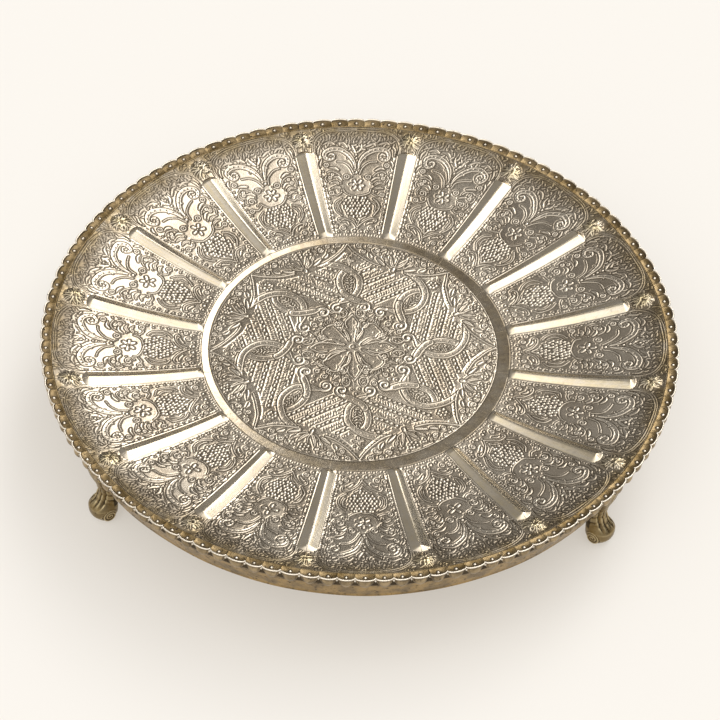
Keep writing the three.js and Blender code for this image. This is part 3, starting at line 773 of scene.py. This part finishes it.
def middle(chaser):
    """Eight plain arms about the middle, with a slender leaf between each two and small work round their tips."""
    chaser.origin = np.array([-0.2, 1.2])
    for k in range(8):
        plain = 45 * k + chaser.rng.normal(0, 1.0)
        for side in (1, -1):
            chaser.turn(plain, side)
            if k % 2 == 0:
                chaser.line([(12.8, 2.6), (15.6, 3.4), (17.8, 2.6), (21.4, 0)], 0.36)
                chaser.relief.line(chaser.at([(22.4 + 2.9 * math.cos(t), 4.3 + 2.0 * math.sin(t))
                                              for t in np.linspace(0, 6.2, 18)], 0.1), 0.34)
                chaser.bead(21.6, 4.0, 0.55)
                chaser.line([(22.6, 5.2), (23.4, 4.2), (24.2, 3.6)], 0.3)
            else:
                chaser.line([(11.6, 4.6), (15.2, 5.0), (18.0, 3.4), (18.6, 0)], 0.36)
                for v in np.arange(0.6, 5.6, 1.15):
                    chaser.line([(19.6 - v * 0.14, v), (20.6 - v * 0.14, v + 0.3), (21.3 - v * 0.14, v + 0.9)], 0.3)
                chaser.scroll((23.7, 2.3), 1.5, 0.5, 180, -1.1, (0.4, 0.34))
            chaser.turn(plain + 22.5, side)
            chaser.line([(13.6, 0.4), (15.4, 2.0), (17.4, 2.0), (18.4, 0.6)], 0.34)
            chaser.leaf([(19.4, 0.8), (21.6, 2.2), (24.0, 2.4)], 0.6)
        chaser.turn(plain + 22.5)
        bend = chaser.rng.choice([-1, 1])
        chaser.leaf([(4.4, 0), (7.4, 0.4 * bend), (10.6, 0.8 * bend), (14.0, 0)], 0.8)
        chaser.line([(7.6, -0.9 * bend), (11.4, -1.3 * bend), (14.6, -2.4 * bend)], 0.34)
        chaser.ring(16.4, 0.4 * bend, 0.95)
        chaser.ring(25.4, 0, 1.1)
        chaser.bead(20.6, 0, 0.5)
        for u in (8.0, 14.2, 18.2):
            chaser.turn(plain)
            chaser.dot(u, chaser.rng.normal(0, 0.8), 0.3, 0.3)
    chaser.turn(0)
    chaser.bead(0, 0, 0.9)
    chaser.origin = np.zeros(2)


def bead_rows(chaser):
    """Rows of beads between fine lines, with hatching between, in chevrons about the four main axes."""
    relief = chaser.relief
    before = relief.edge.copy()
    x, y = np.meshgrid(relief.x, relief.y)
    reach, turn = np.hypot(x, y), np.degrees(np.arctan2(y, x))
    offset = np.abs((turn + 22.5) % 45 - 22.5)
    star_turn = [math.degrees(math.atan2(v, u)) for u, v in STAR_SIDE]
    star_reach = [math.hypot(u, v) - 2.9 for u, v in STAR_SIDE]
    before[(reach < 30.8) | (reach > np.interp(offset, star_turn, star_reach))] = -FAR
    eye = np.hypot((reach * np.cos(np.radians(offset)) - 45) / 9.0, reach * np.sin(np.radians(offset)) / 5.0)
    before[eye < 1] = -FAR

    def clear(points, room):
        p = chaser.at(points, 0)
        cells = ((p - relief.low) / relief.step).astype(int)
        inside = np.abs(np.degrees(np.arctan2(*np.asarray(points, float).T[::-1]))) < 45.5
        return np.all(inside) and np.all(before[cells[:, 1], cells[:, 0]] > room)

    for axis in range(0, 360, 90):
        slope, starts = ROW_SLOPES[axis % 180], ROW_STARTS[axis % 180]
        run = math.hypot(1, slope)
        for side in (1, -1):
            chaser.turn(axis, side)
            for start, ahead in zip(starts, (*starts[1:], starts[-1] + 7)):
                for v in np.arange(0.4, 36, ROW_PITCH / run):
                    if clear([(start + slope * v, v)], 0.55):
                        chaser.bead(start + slope * v, v, 0.76, 0.6, 0.55, (slope / run, 1 / run))
                for edge in (start - 1.5 * run, start + 1.5 * run):
                    for v in np.arange(0, 36, 0.8):
                        ends = [(edge + slope * q, q) for q in (v, v + 0.8)]
                        if clear(ends, 0.3):
                            relief.line(chaser.at(ends, 0), 0.24, 0.3, False)
                low, high = start + 1.5 * run, ahead - 1.5 * run
                for lane in (0.27, 0.73):
                    for v in np.arange(0.3, 36, 1.25):
                        u = low + lane * (high - low) + slope * v
                        lean = chaser.rng.uniform(-0.3, 0.45)
                        ends = [(u - 0.4, v - lean), (u + 0.4, v + lean)]
                        if clear(ends, 0.3):
                            chaser.cut(ends, 0.26, chaser.rng.uniform(0.2, 0.42))


def medallion_relief():
    relief = Relief((-72.5, -72.5), (72.5, 72.5))
    chaser = Chaser(relief, 5, 0.18)
    for k in range(8):
        axis = 45 * k + chaser.rng.normal(0, 0.5)
        chaser.turn(axis)
        loop(chaser)
        star_tip(chaser, k % 2 == 1)
        lens(chaser, 45 * k + 22.5 + chaser.rng.normal(0, 0.5))
    middle(chaser)
    bead_rows(chaser)
    turn = np.linspace(0, 2 * math.pi, 260)
    relief.line(np.stack([71.0 * np.cos(turn), 71.0 * np.sin(turn)], axis=1), 0.26, 0.3)
    return relief, relief.finish()


QUARTER_CELLS = 264


def medallion_quarters():
    relief, maps = medallion_relief()
    a, b = np.meshgrid(np.linspace(0, 1, QUARTER_CELLS + 1), np.linspace(0, 1, QUARTER_CELLS + 1), indexing="ij")
    larger = np.maximum(a, b)
    safe = np.where(larger > 0, larger, 1)
    angle = np.where(a >= b, math.pi / 4 * b / safe, math.pi / 2 - math.pi / 4 * a / safe)
    (cx, cy), (ax, ay) = RING_INNER_EDGE
    for number in range(4):
        turn = angle + number * math.pi / 2
        reach = larger * 1.003
        px, py = PATTERN_R * reach * np.cos(turn - PATTERN_TURN), PATTERN_R * reach * np.sin(turn - PATTERN_TURN)
        rise, dark, raised = np.moveaxis(relief.sample(maps, px, py), -1, 0)
        inside = smoothstep(1.0, 0.99, reach)
        base = np.full_like(rise, MEDALLION_Z)
        z = base + rise * inside - 0.15 * (1 - inside)
        top = np.stack([cx + ax * reach * np.cos(turn), cy + ay * reach * np.sin(turn), z], axis=-1)
        found = {"dark": dark, "raised": raised, "brass": np.full_like(rise, 0.05), "base": base}
        piece = plate(f"tray_medallion_{number + 1}", top.transpose(1, 0, 2), {k: v.T for k, v in found.items()}, 8, silver)
        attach(piece, "root")
        if number == 0:
            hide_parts("tray_sheet")


medallion_quarters()

# The lobed border

LIP_R = 153.6
LOBE_DEPTH = 1.5
LOBE_BEAD_R = 150.7
SHELL_HEIGHT = 6.0
LOBE_COLS = 30
BORDER_LENGTHS = 4


def loop_faces(columns, count, start=0):
    """Quads between closed sections that stand side by side."""
    index = np.arange(columns * count).reshape(columns, count) + start
    ahead = np.roll(index, -1, axis=1)
    return np.stack([index[:-1], index[1:], ahead[1:], ahead[:-1]], axis=-1).reshape(-1, 4)


def border(number):
    lobes = LOBES // BORDER_LENGTHS
    rng = np.random.default_rng(40)
    drift = rng.normal(0, 0.055, LOBES + 1)
    drift[:: LOBES // BORDER_LENGTHS] = 0
    place = np.arange(lobes * LOBE_COLS + 1) / LOBE_COLS
    lobe = np.clip(place.astype(int), 0, lobes - 1)
    within = place - lobe
    s = within * 2 - 1
    low = number * lobes + lobe + drift[number * lobes + lobe]
    high = number * lobes + lobe + 1 + drift[number * lobes + lobe + 1]
    angle = (3.5 + low + (high - low) * within) * 2 * math.pi / LOBES
    swell = np.sqrt(np.clip(1 - s**2, 0, 1))
    lip = LIP_R - LOBE_DEPTH * (1 - swell)
    sections = []
    darks = []
    raiseds = []

    def row(r, z, dark=0.0, raised=0.0):
        sections.append(np.stack([np.broadcast_to(r, s.shape), np.broadcast_to(z, s.shape)], axis=-1))
        darks.append(np.broadcast_to(dark, s.shape))
        raiseds.append(np.broadcast_to(raised, s.shape))

    lobe_width = 2 * math.pi * 150 / LOBES
    row(148.3, LIP_Z - 2.4)
    inner_steps = 13
    for k in range(inner_steps):
        f = k / (inner_steps - 1)
        r = 148.3 + f * (lip - 1.0 - 148.3)
        dip = 0.4 * np.sin(np.pi * f) * swell
        away = np.hypot(r - LOBE_BEAD_R, s * lobe_width / 2)
        bead = 0.55 * np.sqrt(np.clip(1 - (away / 0.6) ** 2, 0, 1))
        dark = np.clip(0.42 + 0.45 * f**2 * swell + np.exp(-(((away - 0.85) / 0.25) ** 2)), 0, 1)
        row(r, LIP_Z - 1.05 + 0.35 * f - dip + bead, dark * (away > 0.58), (bead > 0.15) * 1.0)
    # The lip rows, and the beads inside and below it, are marked raised and so take a pale silver colour: partly
    # silvering rubbed bright, partly painted highlight.
    row(lip - 0.86, LIP_Z - 0.4, 0.4, 0.4)
    row(lip - 0.68, LIP_Z - 0.06, 0, 1)
    row(lip - 0.34, LIP_Z, 0, 1)
    row(lip - 0.1, LIP_Z - 0.12, 0, 1)
    row(lip, LIP_Z - 0.4, 0, 0.8)
    # Painted shadow: the turned-in underside of the lip is dark.
    row(lip - 0.25, LIP_Z - 0.75, 0.8, 0)
    face_steps = 21
    for k in range(face_steps):
        h = k / (face_steps - 1)
        z = LIP_Z - 1.0 - SHELL_HEIGHT * h
        wide = 0.97 * (1 - h**2.0) ** 0.5 + 0.02
        scale = np.sqrt(np.clip(1 - (s / wide) ** 2, 0, 1))
        base = 150.6 - 0.3 * h
        crest = lip - 1.6 + 1.15 * math.sin(math.pi * min(1, 0.05 + h * 0.8)) - 0.9 * h**2
        r = np.where(scale > 0, base + np.maximum(crest - base, 0.35) * scale**0.8, base)
        away = np.hypot((1 - np.abs(s)) * lobe_width / 2, z - (LIP_Z - 1.5))
        drop = np.sqrt(np.clip(1 - (away / 0.75) ** 2, 0, 1))
        r = np.maximum(r, np.where(drop > 0, LIP_R - LOBE_DEPTH - 0.9 + 1.75 * drop, 0))
        line = np.exp(-(((np.abs(s) / wide - 0.72) / 0.1) ** 2)) * (h < 0.75)
        # The top of each shell, just under the lip, is darkened: the lip's painted shadow.
        dark = np.where(scale > 0.3, 0.2 + 0.5 * line + 0.9 * max(0, 1 - h * 3.6), 0.95) * (drop == 0)
        row(r, z, np.clip(dark, 0, 1), np.where(drop > 0, 1.0, 0.15 * (scale > 0.6)))
    # Painted shade: the shells' lower edge and the faces under and behind the border are made darker.
    row(150.2, LIP_Z - 1.2 - SHELL_HEIGHT, 0.8)
    row(150.2, LIP_Z - 5.0, 0.6)
    row(147.6, LIP_Z - 5.0, 0.6)
    row(147.6, LIP_Z - 2.4, 0.6)
    section = np.stack(sections, axis=1)
    columns, count = section.shape[:2]
    joint = 0.1 / 150
    angle = np.clip(angle, angle[0] + joint, angle[-1] - joint)[:, None]
    co = np.stack([section[..., 0] * np.cos(angle), section[..., 0] * np.sin(angle), section[..., 1]], axis=-1)
    quads = loop_faces(columns, count)[:, ::-1]
    ends = []
    for end, turn in ((0, 1), (columns - 1, -1)):
        ring = end * count + np.arange(count)
        ends.append(ring[None, ::turn])
    # the strip is laid out in four rows for its finish
    column = np.arange(columns - 1)
    strip = np.minimum(column * 4 // (columns - 1), 3)
    u0 = column * 4 / (columns - 1) - strip
    u1 = (column + 1) * 4 / (columns - 1) - strip
    v = np.arange(count + 1) / count * 0.235
    uv = np.zeros((columns - 1, count, 4, 2))
    uv[..., 0, 0] = uv[..., 3, 0] = u0[:, None]
    uv[..., 1, 0] = uv[..., 2, 0] = np.minimum(u1, 1)[:, None]
    uv[..., 0, 1] = uv[..., 1, 1] = v[None, :-1] + strip[:, None] * 0.245
    uv[..., 2, 1] = uv[..., 3, 1] = v[None, 1:] + strip[:, None] * 0.245
    uv = uv.reshape(-1, 4, 2)[:, ::-1].reshape(-1, 2) * 0.996
    cap = np.linspace(0, 2 * math.pi, count, endpoint=False)
    caps = [np.stack([0.2 + 0.4 * k + 0.006 * np.cos(cap), 0.99 + 0.006 * np.sin(cap)], axis=1) for k in (0, 1)]
    uv = np.concatenate([uv, *caps])
    attributes = {"dark": np.stack(darks, axis=1), "raised": np.stack(raiseds, axis=1)}
    piece = new_object(f"lobed_border_{number + 1}", co.reshape(-1, 3), [quads, *ends], border_brass, attributes, uv)
    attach(piece, "root")
    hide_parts(f"border_length_{number + 1}")


for number in range(BORDER_LENGTHS):
    border(number)

# The apron under the border

APRON_COLS = 480
APRON_TOP = 48.4
APRON_TAPER = 6.1
TURN_Z = 32.3  # where the leaning wall ends and its turn to the flange starts
FLANGE_R = 142.0


def apron():
    turn = np.linspace(0, math.pi / 2, 9)
    wall = [(APRON_R - APRON_TAPER * k, APRON_TOP - (APRON_TOP - TURN_Z) * k) for k in np.linspace(0, 1, 9)]
    outer = wall + [(FLANGE_R + 1.8 * math.cos(t), TURN_Z - 2.0 * math.sin(t)) for t in turn[1:]]
    low, high = TURN_Z - 2.0, TURN_Z - 0.8
    flange = [(140.0, low), (134.0, low), (128.4, low), (128.0, low + 0.3), (128.0, high - 0.3), (128.4, high), (134.0, high)]
    inner = [(FLANGE_R + 0.6 * math.cos(t), TURN_Z - 0.8 * math.sin(t)) for t in turn[::-1]]
    section = np.array(outer + flange + inner + [(r - SHEET, z) for r, z in wall[-3::-2]])
    count = len(section)
    angle = np.linspace(0, 2 * math.pi, APRON_COLS, endpoint=False)
    dent = 0.10 * np.sin(7 * angle + 1) + 0.07 * np.sin(13 * angle + 2.2) + 0.05 * np.sin(23 * angle)
    r = section[None, :, 0] + dent[:, None] * (section[None, :, 0] > FLANGE_R)
    z = np.repeat(section[None, :, 1], APRON_COLS, axis=0)
    co = np.stack([r * np.cos(angle)[:, None], r * np.sin(angle)[:, None], z], axis=-1)
    index = np.arange(APRON_COLS * count).reshape(APRON_COLS, count)
    ahead, across = np.roll(index, -1, axis=0), np.roll(index, -1, axis=1)
    both = np.roll(ahead, -1, axis=1)
    quads = np.stack([index, across, both, ahead], axis=-1).reshape(-1, 4)
    rows = 6
    column = np.arange(APRON_COLS)
    strip = column * rows // APRON_COLS
    u0 = column * rows / APRON_COLS - strip
    u1 = u0 + rows / APRON_COLS
    v = np.arange(count + 1) / count * 0.96
    uv = np.zeros((APRON_COLS, count, 4, 2))
    uv[..., 0, 0] = uv[..., 1, 0] = u0[:, None]
    uv[..., 2, 0] = uv[..., 3, 0] = u1[:, None]
    uv[..., 0, 1] = uv[..., 3, 1] = (v[None, :-1] + strip[:, None]) / rows
    uv[..., 1, 1] = uv[..., 2, 1] = (v[None, 1:] + strip[:, None]) / rows
    dark = np.zeros((APRON_COLS, count))
    # Painted shade: the top of the wall under the border, and the flange and inner faces, are made darker.
    dark[:, :2] = 0.75
    dark[:, 2] = 0.3
    dark[:, len(outer):] = 0.25
    attributes = {"dark": dark, "raised": np.zeros_like(dark)}
    piece = new_object("apron", co.reshape(-1, 3), [quads], band_brass, attributes, uv.reshape(-1, 2) * 0.998)
    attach(piece, "root")
    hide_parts("apron_band")


apron()

# Feet

TOE_R = 139.7
FOOT_TOP = 30.0
VOXEL = 0.36


def surface_nets(field, low, step):
    """Points and quads of the surface where a field of distances passes through zero."""
    inside = field < 0
    corners = [(i, j, k) for i in (0, 1) for j in (0, 1) for k in (0, 1)]
    shape = np.array(field.shape) - 1
    view = lambda f, c: f[c[0]:c[0] + shape[0], c[1]:c[1] + shape[1], c[2]:c[2] + shape[2]]
    count = sum(view(inside, c).astype(int) for c in corners)
    active = (count > 0) & (count < 8)
    number = np.full(active.shape, -1)
    cells = np.argwhere(active)
    number[active] = np.arange(len(cells))
    total = np.zeros((len(cells), 3))
    weight = np.zeros(len(cells))
    for axis in range(3):
        for c in corners:
            if c[axis]:
                continue
            d = list(c)
            d[axis] = 1
            fa, fb = view(field, c)[active], view(field, d)[active]
            cross = (fa < 0) != (fb < 0)
            t = np.where(cross, fa / np.where(cross, fa - fb, 1), 0)
            point = np.array(c) + t[:, None] * (np.array(d) - np.array(c))
            total += point * cross[:, None]
            weight += cross
    co = (cells + total / weight[:, None]) * step + low
    quads = []
    for axis in range(3):
        b, c = (axis + 1) % 3, (axis + 2) % 3
        first = [slice(1, -1)] * 3
        second = [slice(1, -1)] * 3
        first[axis], second[axis] = slice(0, -1), slice(1, None)
        fa, fb = inside[tuple(first)], inside[tuple(second)]
        for turned in (False, True):
            at = np.argwhere((fa != fb) & (fa == turned))
            at[:, b] += 1
            at[:, c] += 1
            ring = []
            for db, dc in ((-1, -1), (0, -1), (0, 0), (-1, 0)):
                cell = at.copy()
                cell[:, b] += db
                cell[:, c] += dc
                ring.append(number[tuple(cell.T)])
            ring = np.stack(ring, axis=1)
            quads.append(ring if turned else ring[:, ::-1])
    return co, np.concatenate(quads)


def blend(a, b, k):
    h = np.clip(0.5 + 0.5 * (b - a) / k, 0, 1)
    return b + (a - b) * h - k * h * (1 - h)


def foot_form():
    """A cast foot in a frame of its own: x out from under the toe, y across and z up."""
    low = np.array([-12.5, -11.5, -1.0])
    high = np.array([11.0, 11.5, 42.0])
    axes = [np.arange(a, b, VOXEL) for a, b in zip(low, high)]
    x, y, z = np.meshgrid(*axes, indexing="ij")
    level = np.array([0.0, 4.0, 8.0, 12.0, 17.0, 22.0, 26.0, 30.0, 35.0, 40.0])
    front = np.interp(z, level, [3.4, 6.4, 6.6, 3.4, 1.8, 2.6, 4.2, 5.8, 7.0, 8.6])
    back = np.interp(z, level, [-5.0, -6.6, -6.8, -6.6, -6.6, -7.8, -9.4, -10.8, -10.8, -10.8])
    half = np.interp(z, level, [4.6, 6.2, 6.2, 5.0, 4.9, 5.8, 7.0, 8.2, 8.8, 5.4])
    middle = (front + back) / 2
    deep = (front - back) / 2
    power = 2.6
    shell = ((np.abs(x - middle) / deep) ** power + (np.abs(y) / half) ** power) ** (1 / power) - 1
    body = shell * np.minimum(deep, half) * 0.9
    # the hollow behind
    hollow_front = np.interp(z, level, [-3, -1.0, -1.6, -1.6, -1.8, -1.6, -0.6, 0.4, 2.0, 3.0])
    hollow = np.maximum(x - hollow_front, np.abs(y) - half + 2.0)
    hollow = np.maximum(hollow, 9.0 - z + (x + 8) * 0.3)
    body = np.maximum(body, -hollow)
    # the toe and the small scroll on each side of it
    toe = np.sqrt(((x - 0.4) / 6.4) ** 2 + (y / 6.4) ** 2 + ((z - 6.4) / 6.5) ** 2) * 6.4 - 6.4
    body = blend(body, toe, 1.2)
    side = np.abs(y)
    volute = np.hypot(x + 0.4, z - 4.4)
    disc = np.maximum(volute - 3.5, np.abs(side - 4.9) - 1.7)
    body = blend(body, disc, 0.7)
    turn = np.arctan2(z - 4.4, x + 0.4)
    coil = np.mod(volute - 1.35 * (turn / (2 * math.pi)) - 0.4, 1.35) - 0.68
    body = body + 0.45 * np.exp(-((coil / 0.3) ** 2)) * (side > 5.2) * (volute < 3.8)
    # grooves of leafage down the front and the sides
    out = smoothstep(-1.0, 2.0, x - middle)
    ridge = np.exp(-(((side - half * 0.3) / 0.5) ** 2)) + np.exp(-(((side - half * 0.72) / 0.5) ** 2))
    body = body + 0.7 * ridge * out * smoothstep(8.5, 11, z) * smoothstep(41, 37, z)
    lobed = np.sin((z * 1.25 + side * 1.1 - x * 0.6) * 1.45)
    body = body + 0.4 * np.clip(lobed, 0, 1) * (1 - out * 0.7) * smoothstep(10, 13, z) * smoothstep(30, 27, z)
    # the flat sole, and the seat against the flange and the apron's leaning face
    body = np.maximum(body, -z)
    radius = np.hypot(TOE_R + x, y)
    wall = APRON_R - APRON_TAPER * np.clip((APRON_TOP - z) / (APRON_TOP - TURN_Z), 0, 1)
    corner = np.hypot(np.clip(radius - FLANGE_R, 0, None) / 2.1, np.clip(TURN_Z - z, 0, None) / 2.3)
    seat = np.where(radius < FLANGE_R, FOOT_TOP - z, np.where(z > TURN_Z, radius - wall - 0.3, (corner - 1) * 2.1))
    body = np.maximum(body, -seat)
    return surface_nets(body, low, VOXEL)


foot_co, foot_quads = foot_form()


def hollows(co, quads, rounds):
    """How far each point lies in a hollow, from how its neighbours lie about it."""
    a, b = quads.ravel(), np.roll(quads, -1, axis=1).ravel()
    count = np.bincount(a, minlength=len(co)) + np.bincount(b, minlength=len(co))
    soft = co.copy()
    for _ in range(rounds):
        total = np.zeros_like(soft)
        for axis in range(3):
            total[:, axis] = np.bincount(a, soft[b, axis], len(co)) + np.bincount(b, soft[a, axis], len(co))
        soft = total / count[:, None]
    p = co[quads]
    normal = np.cross(p[:, 2] - p[:, 0], p[:, 3] - p[:, 1])
    normals = np.zeros_like(co)
    for corner in range(4):
        for axis in range(3):
            normals[:, axis] += np.bincount(quads[:, corner], normal[:, axis], len(co))
    normals /= np.linalg.norm(normals, axis=1)[:, None] + 1e-9
    return np.sum((soft - co) * normals, axis=1)


depth = hollows(foot_co, foot_quads, 5)
# Painted shade: the foot's hollows and the inside of its open back are darker; its bulges take the paler raised colour,
# partly a painted highlight.
foot_dark = np.clip(depth / 0.16, 0, 1)
inside = (foot_co[:, 0] < -3) & (np.abs(foot_co[:, 1]) < 6) & (foot_co[:, 2] > 9)
foot_dark = np.maximum(foot_dark, 0.85 * inside)
foot_raised = np.clip(-depth / 0.2, 0, 1)
FRONT = -93.0
SPREAD = 57.9
for name, degrees in (("left", FRONT - SPREAD), ("right", FRONT + SPREAD), ("back", FRONT + 180)):
    c, s = math.cos(math.radians(degrees)), math.sin(math.radians(degrees))
    px, py = foot_co[:, 0] + TOE_R, foot_co[:, 1]
    co = np.stack([px * c - py * s, px * s + py * c, foot_co[:, 2]], axis=1)
    piece = new_object(f"scroll_foot_{name}", co, [foot_quads], foot_brass, {"dark": foot_dark, "raised": foot_raised})
    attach(piece, "root")
    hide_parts(f"foot_{name}")
    for number in (1, 2):
        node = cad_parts[f"foot_rivet_{name}_{number}"]
        node.data.materials.clear()
        node.data.materials.append(band_brass)

# Floor, light and camera

def floor():
    """A pale ground that takes the tray's shadow, lifted a little where the camera sees it."""
    n = Nodes("pale_floor")
    n.done((0.81, 0.81, 0.805), 0.9, 0.0)
    n.shader.inputs["Specular IOR Level"].default_value = 0.0
    path = n.tree.nodes.new("ShaderNodeLightPath")
    seen = n.math("ADD", path.outputs["Is Camera Ray"], path.outputs["Is Glossy Ray"])
    seen = n.math("ADD", seen, path.outputs["Is Transmission Ray"])
    glow = n.tree.nodes.new("ShaderNodeEmission")
    glow.inputs["Color"].default_value = (0.87, 0.805, 0.715, 1)
    mix = n.tree.nodes.new("ShaderNodeMixShader")
    n.tree.links.new(n.math("MULTIPLY", seen, 0.55), mix.inputs["Fac"])
    n.tree.links.new(n.shader.outputs["BSDF"], mix.inputs[1])
    n.tree.links.new(glow.outputs["Emission"], mix.inputs[2])
    n.tree.links.new(mix.outputs["Shader"], n.tree.nodes["Material Output"].inputs["Surface"])
    size = 4000.0
    co = np.array([[-size, -size, 0], [size, -size, 0], [size, size, 0], [-size, size, 0]])
    ground = new_object("floor", co, [np.array([[0, 1, 2, 3]])], n.material)


floor()


def aim(azimuth, elevation):
    a, e = math.radians(azimuth), math.radians(elevation)
    return (math.cos(e) * math.cos(a), math.cos(e) * math.sin(a), math.sin(e))


def sky():
    """A plain studio: a dim surround with broad soft lights."""
    world = bpy.data.worlds.new("studio")
    bpy.context.scene.world = world
    world.use_nodes = True
    tree = world.node_tree
    back = tree.nodes["Background"]
    direction = tree.nodes.new("ShaderNodeTexCoord").outputs["Generated"]
    level = None
    lights = [  # azimuth, elevation, reach in degrees of the bright part and of its soft edge, strength
        (50, 60, 20, 62, 0.06),
        (5, 68, 10, 28, 1.3),
        (32, 54, 10, 26, 1.7),
        (67, 36, 6, 14, 3.5),
        (62, 46, 6, 14, 3.5),
        (65, 58, 6, 14, 1.9),
        (54, 31, 8, 20, 0.6),
        (88, 84, 12, 50, 0.14),
        (116, 22, 16, 38, 0.3),
        (205, 35, 25, 60, 0.75),
        (268, 62, 20, 50, 1.15),
        (275, 20, 30, 70, 0.3),
    ]
    for azimuth, elevation, bright, soft, strength in lights:
        dot = tree.nodes.new("ShaderNodeVectorMath")
        dot.operation = "DOT_PRODUCT"
        tree.links.new(direction, dot.inputs[0])
        dot.inputs[1].default_value = aim(azimuth, elevation)
        ramp = tree.nodes.new("ShaderNodeMapRange")
        ramp.interpolation_type = "SMOOTHSTEP"
        tree.links.new(dot.outputs["Value"], ramp.inputs["Value"])
        ramp.inputs["From Min"].default_value = math.cos(math.radians(soft))
        ramp.inputs["From Max"].default_value = math.cos(math.radians(bright))
        ramp.inputs["To Max"].default_value = strength
        if level is None:
            level = ramp.outputs["Result"]
        else:
            add = tree.nodes.new("ShaderNodeMath")
            tree.links.new(level, add.inputs[0])
            tree.links.new(ramp.outputs["Result"], add.inputs[1])
            level = add.outputs[0]
    base = tree.nodes.new("ShaderNodeMath")
    tree.links.new(level, base.inputs[0])
    base.inputs[1].default_value = 0.07
    back.inputs["Color"].default_value = (1.0, 0.985, 0.96, 1)
    tree.links.new(base.outputs[0], back.inputs["Strength"])


sky()


def camera():
    elevation, azimuth, roll = math.radians(46.476), math.radians(267.672), math.radians(2.12)
    back = np.array([math.cos(elevation) * math.cos(azimuth), math.cos(elevation) * math.sin(azimuth), math.sin(elevation)])
    right = np.array([-math.sin(azimuth), math.cos(azimuth), 0.0])
    up = np.cross(back, right)
    right, up = math.cos(roll) * right + math.sin(roll) * up, -math.sin(roll) * right + math.cos(roll) * up
    place = np.array([0, 0, MEDALLION_Z * MM]) + 1.69113 * back
    data = bpy.data.cameras.new("camera")
    data.sensor_width = 36.0
    data.lens = 175.0
    data.shift_x, data.shift_y = 0.00066, -0.01129
    data.clip_end = 50
    camera = bpy.data.objects.new("camera", data)
    matrix = np.eye(4)
    matrix[:3, 0], matrix[:3, 1], matrix[:3, 2], matrix[:3, 3] = right, up, back, place
    camera.matrix_world = mathutils.Matrix(matrix.tolist())
    bpy.context.scene.collection.objects.link(camera)
    bpy.context.scene.camera = camera


camera()
bpy.context.scene.view_settings.view_transform = "Standard"
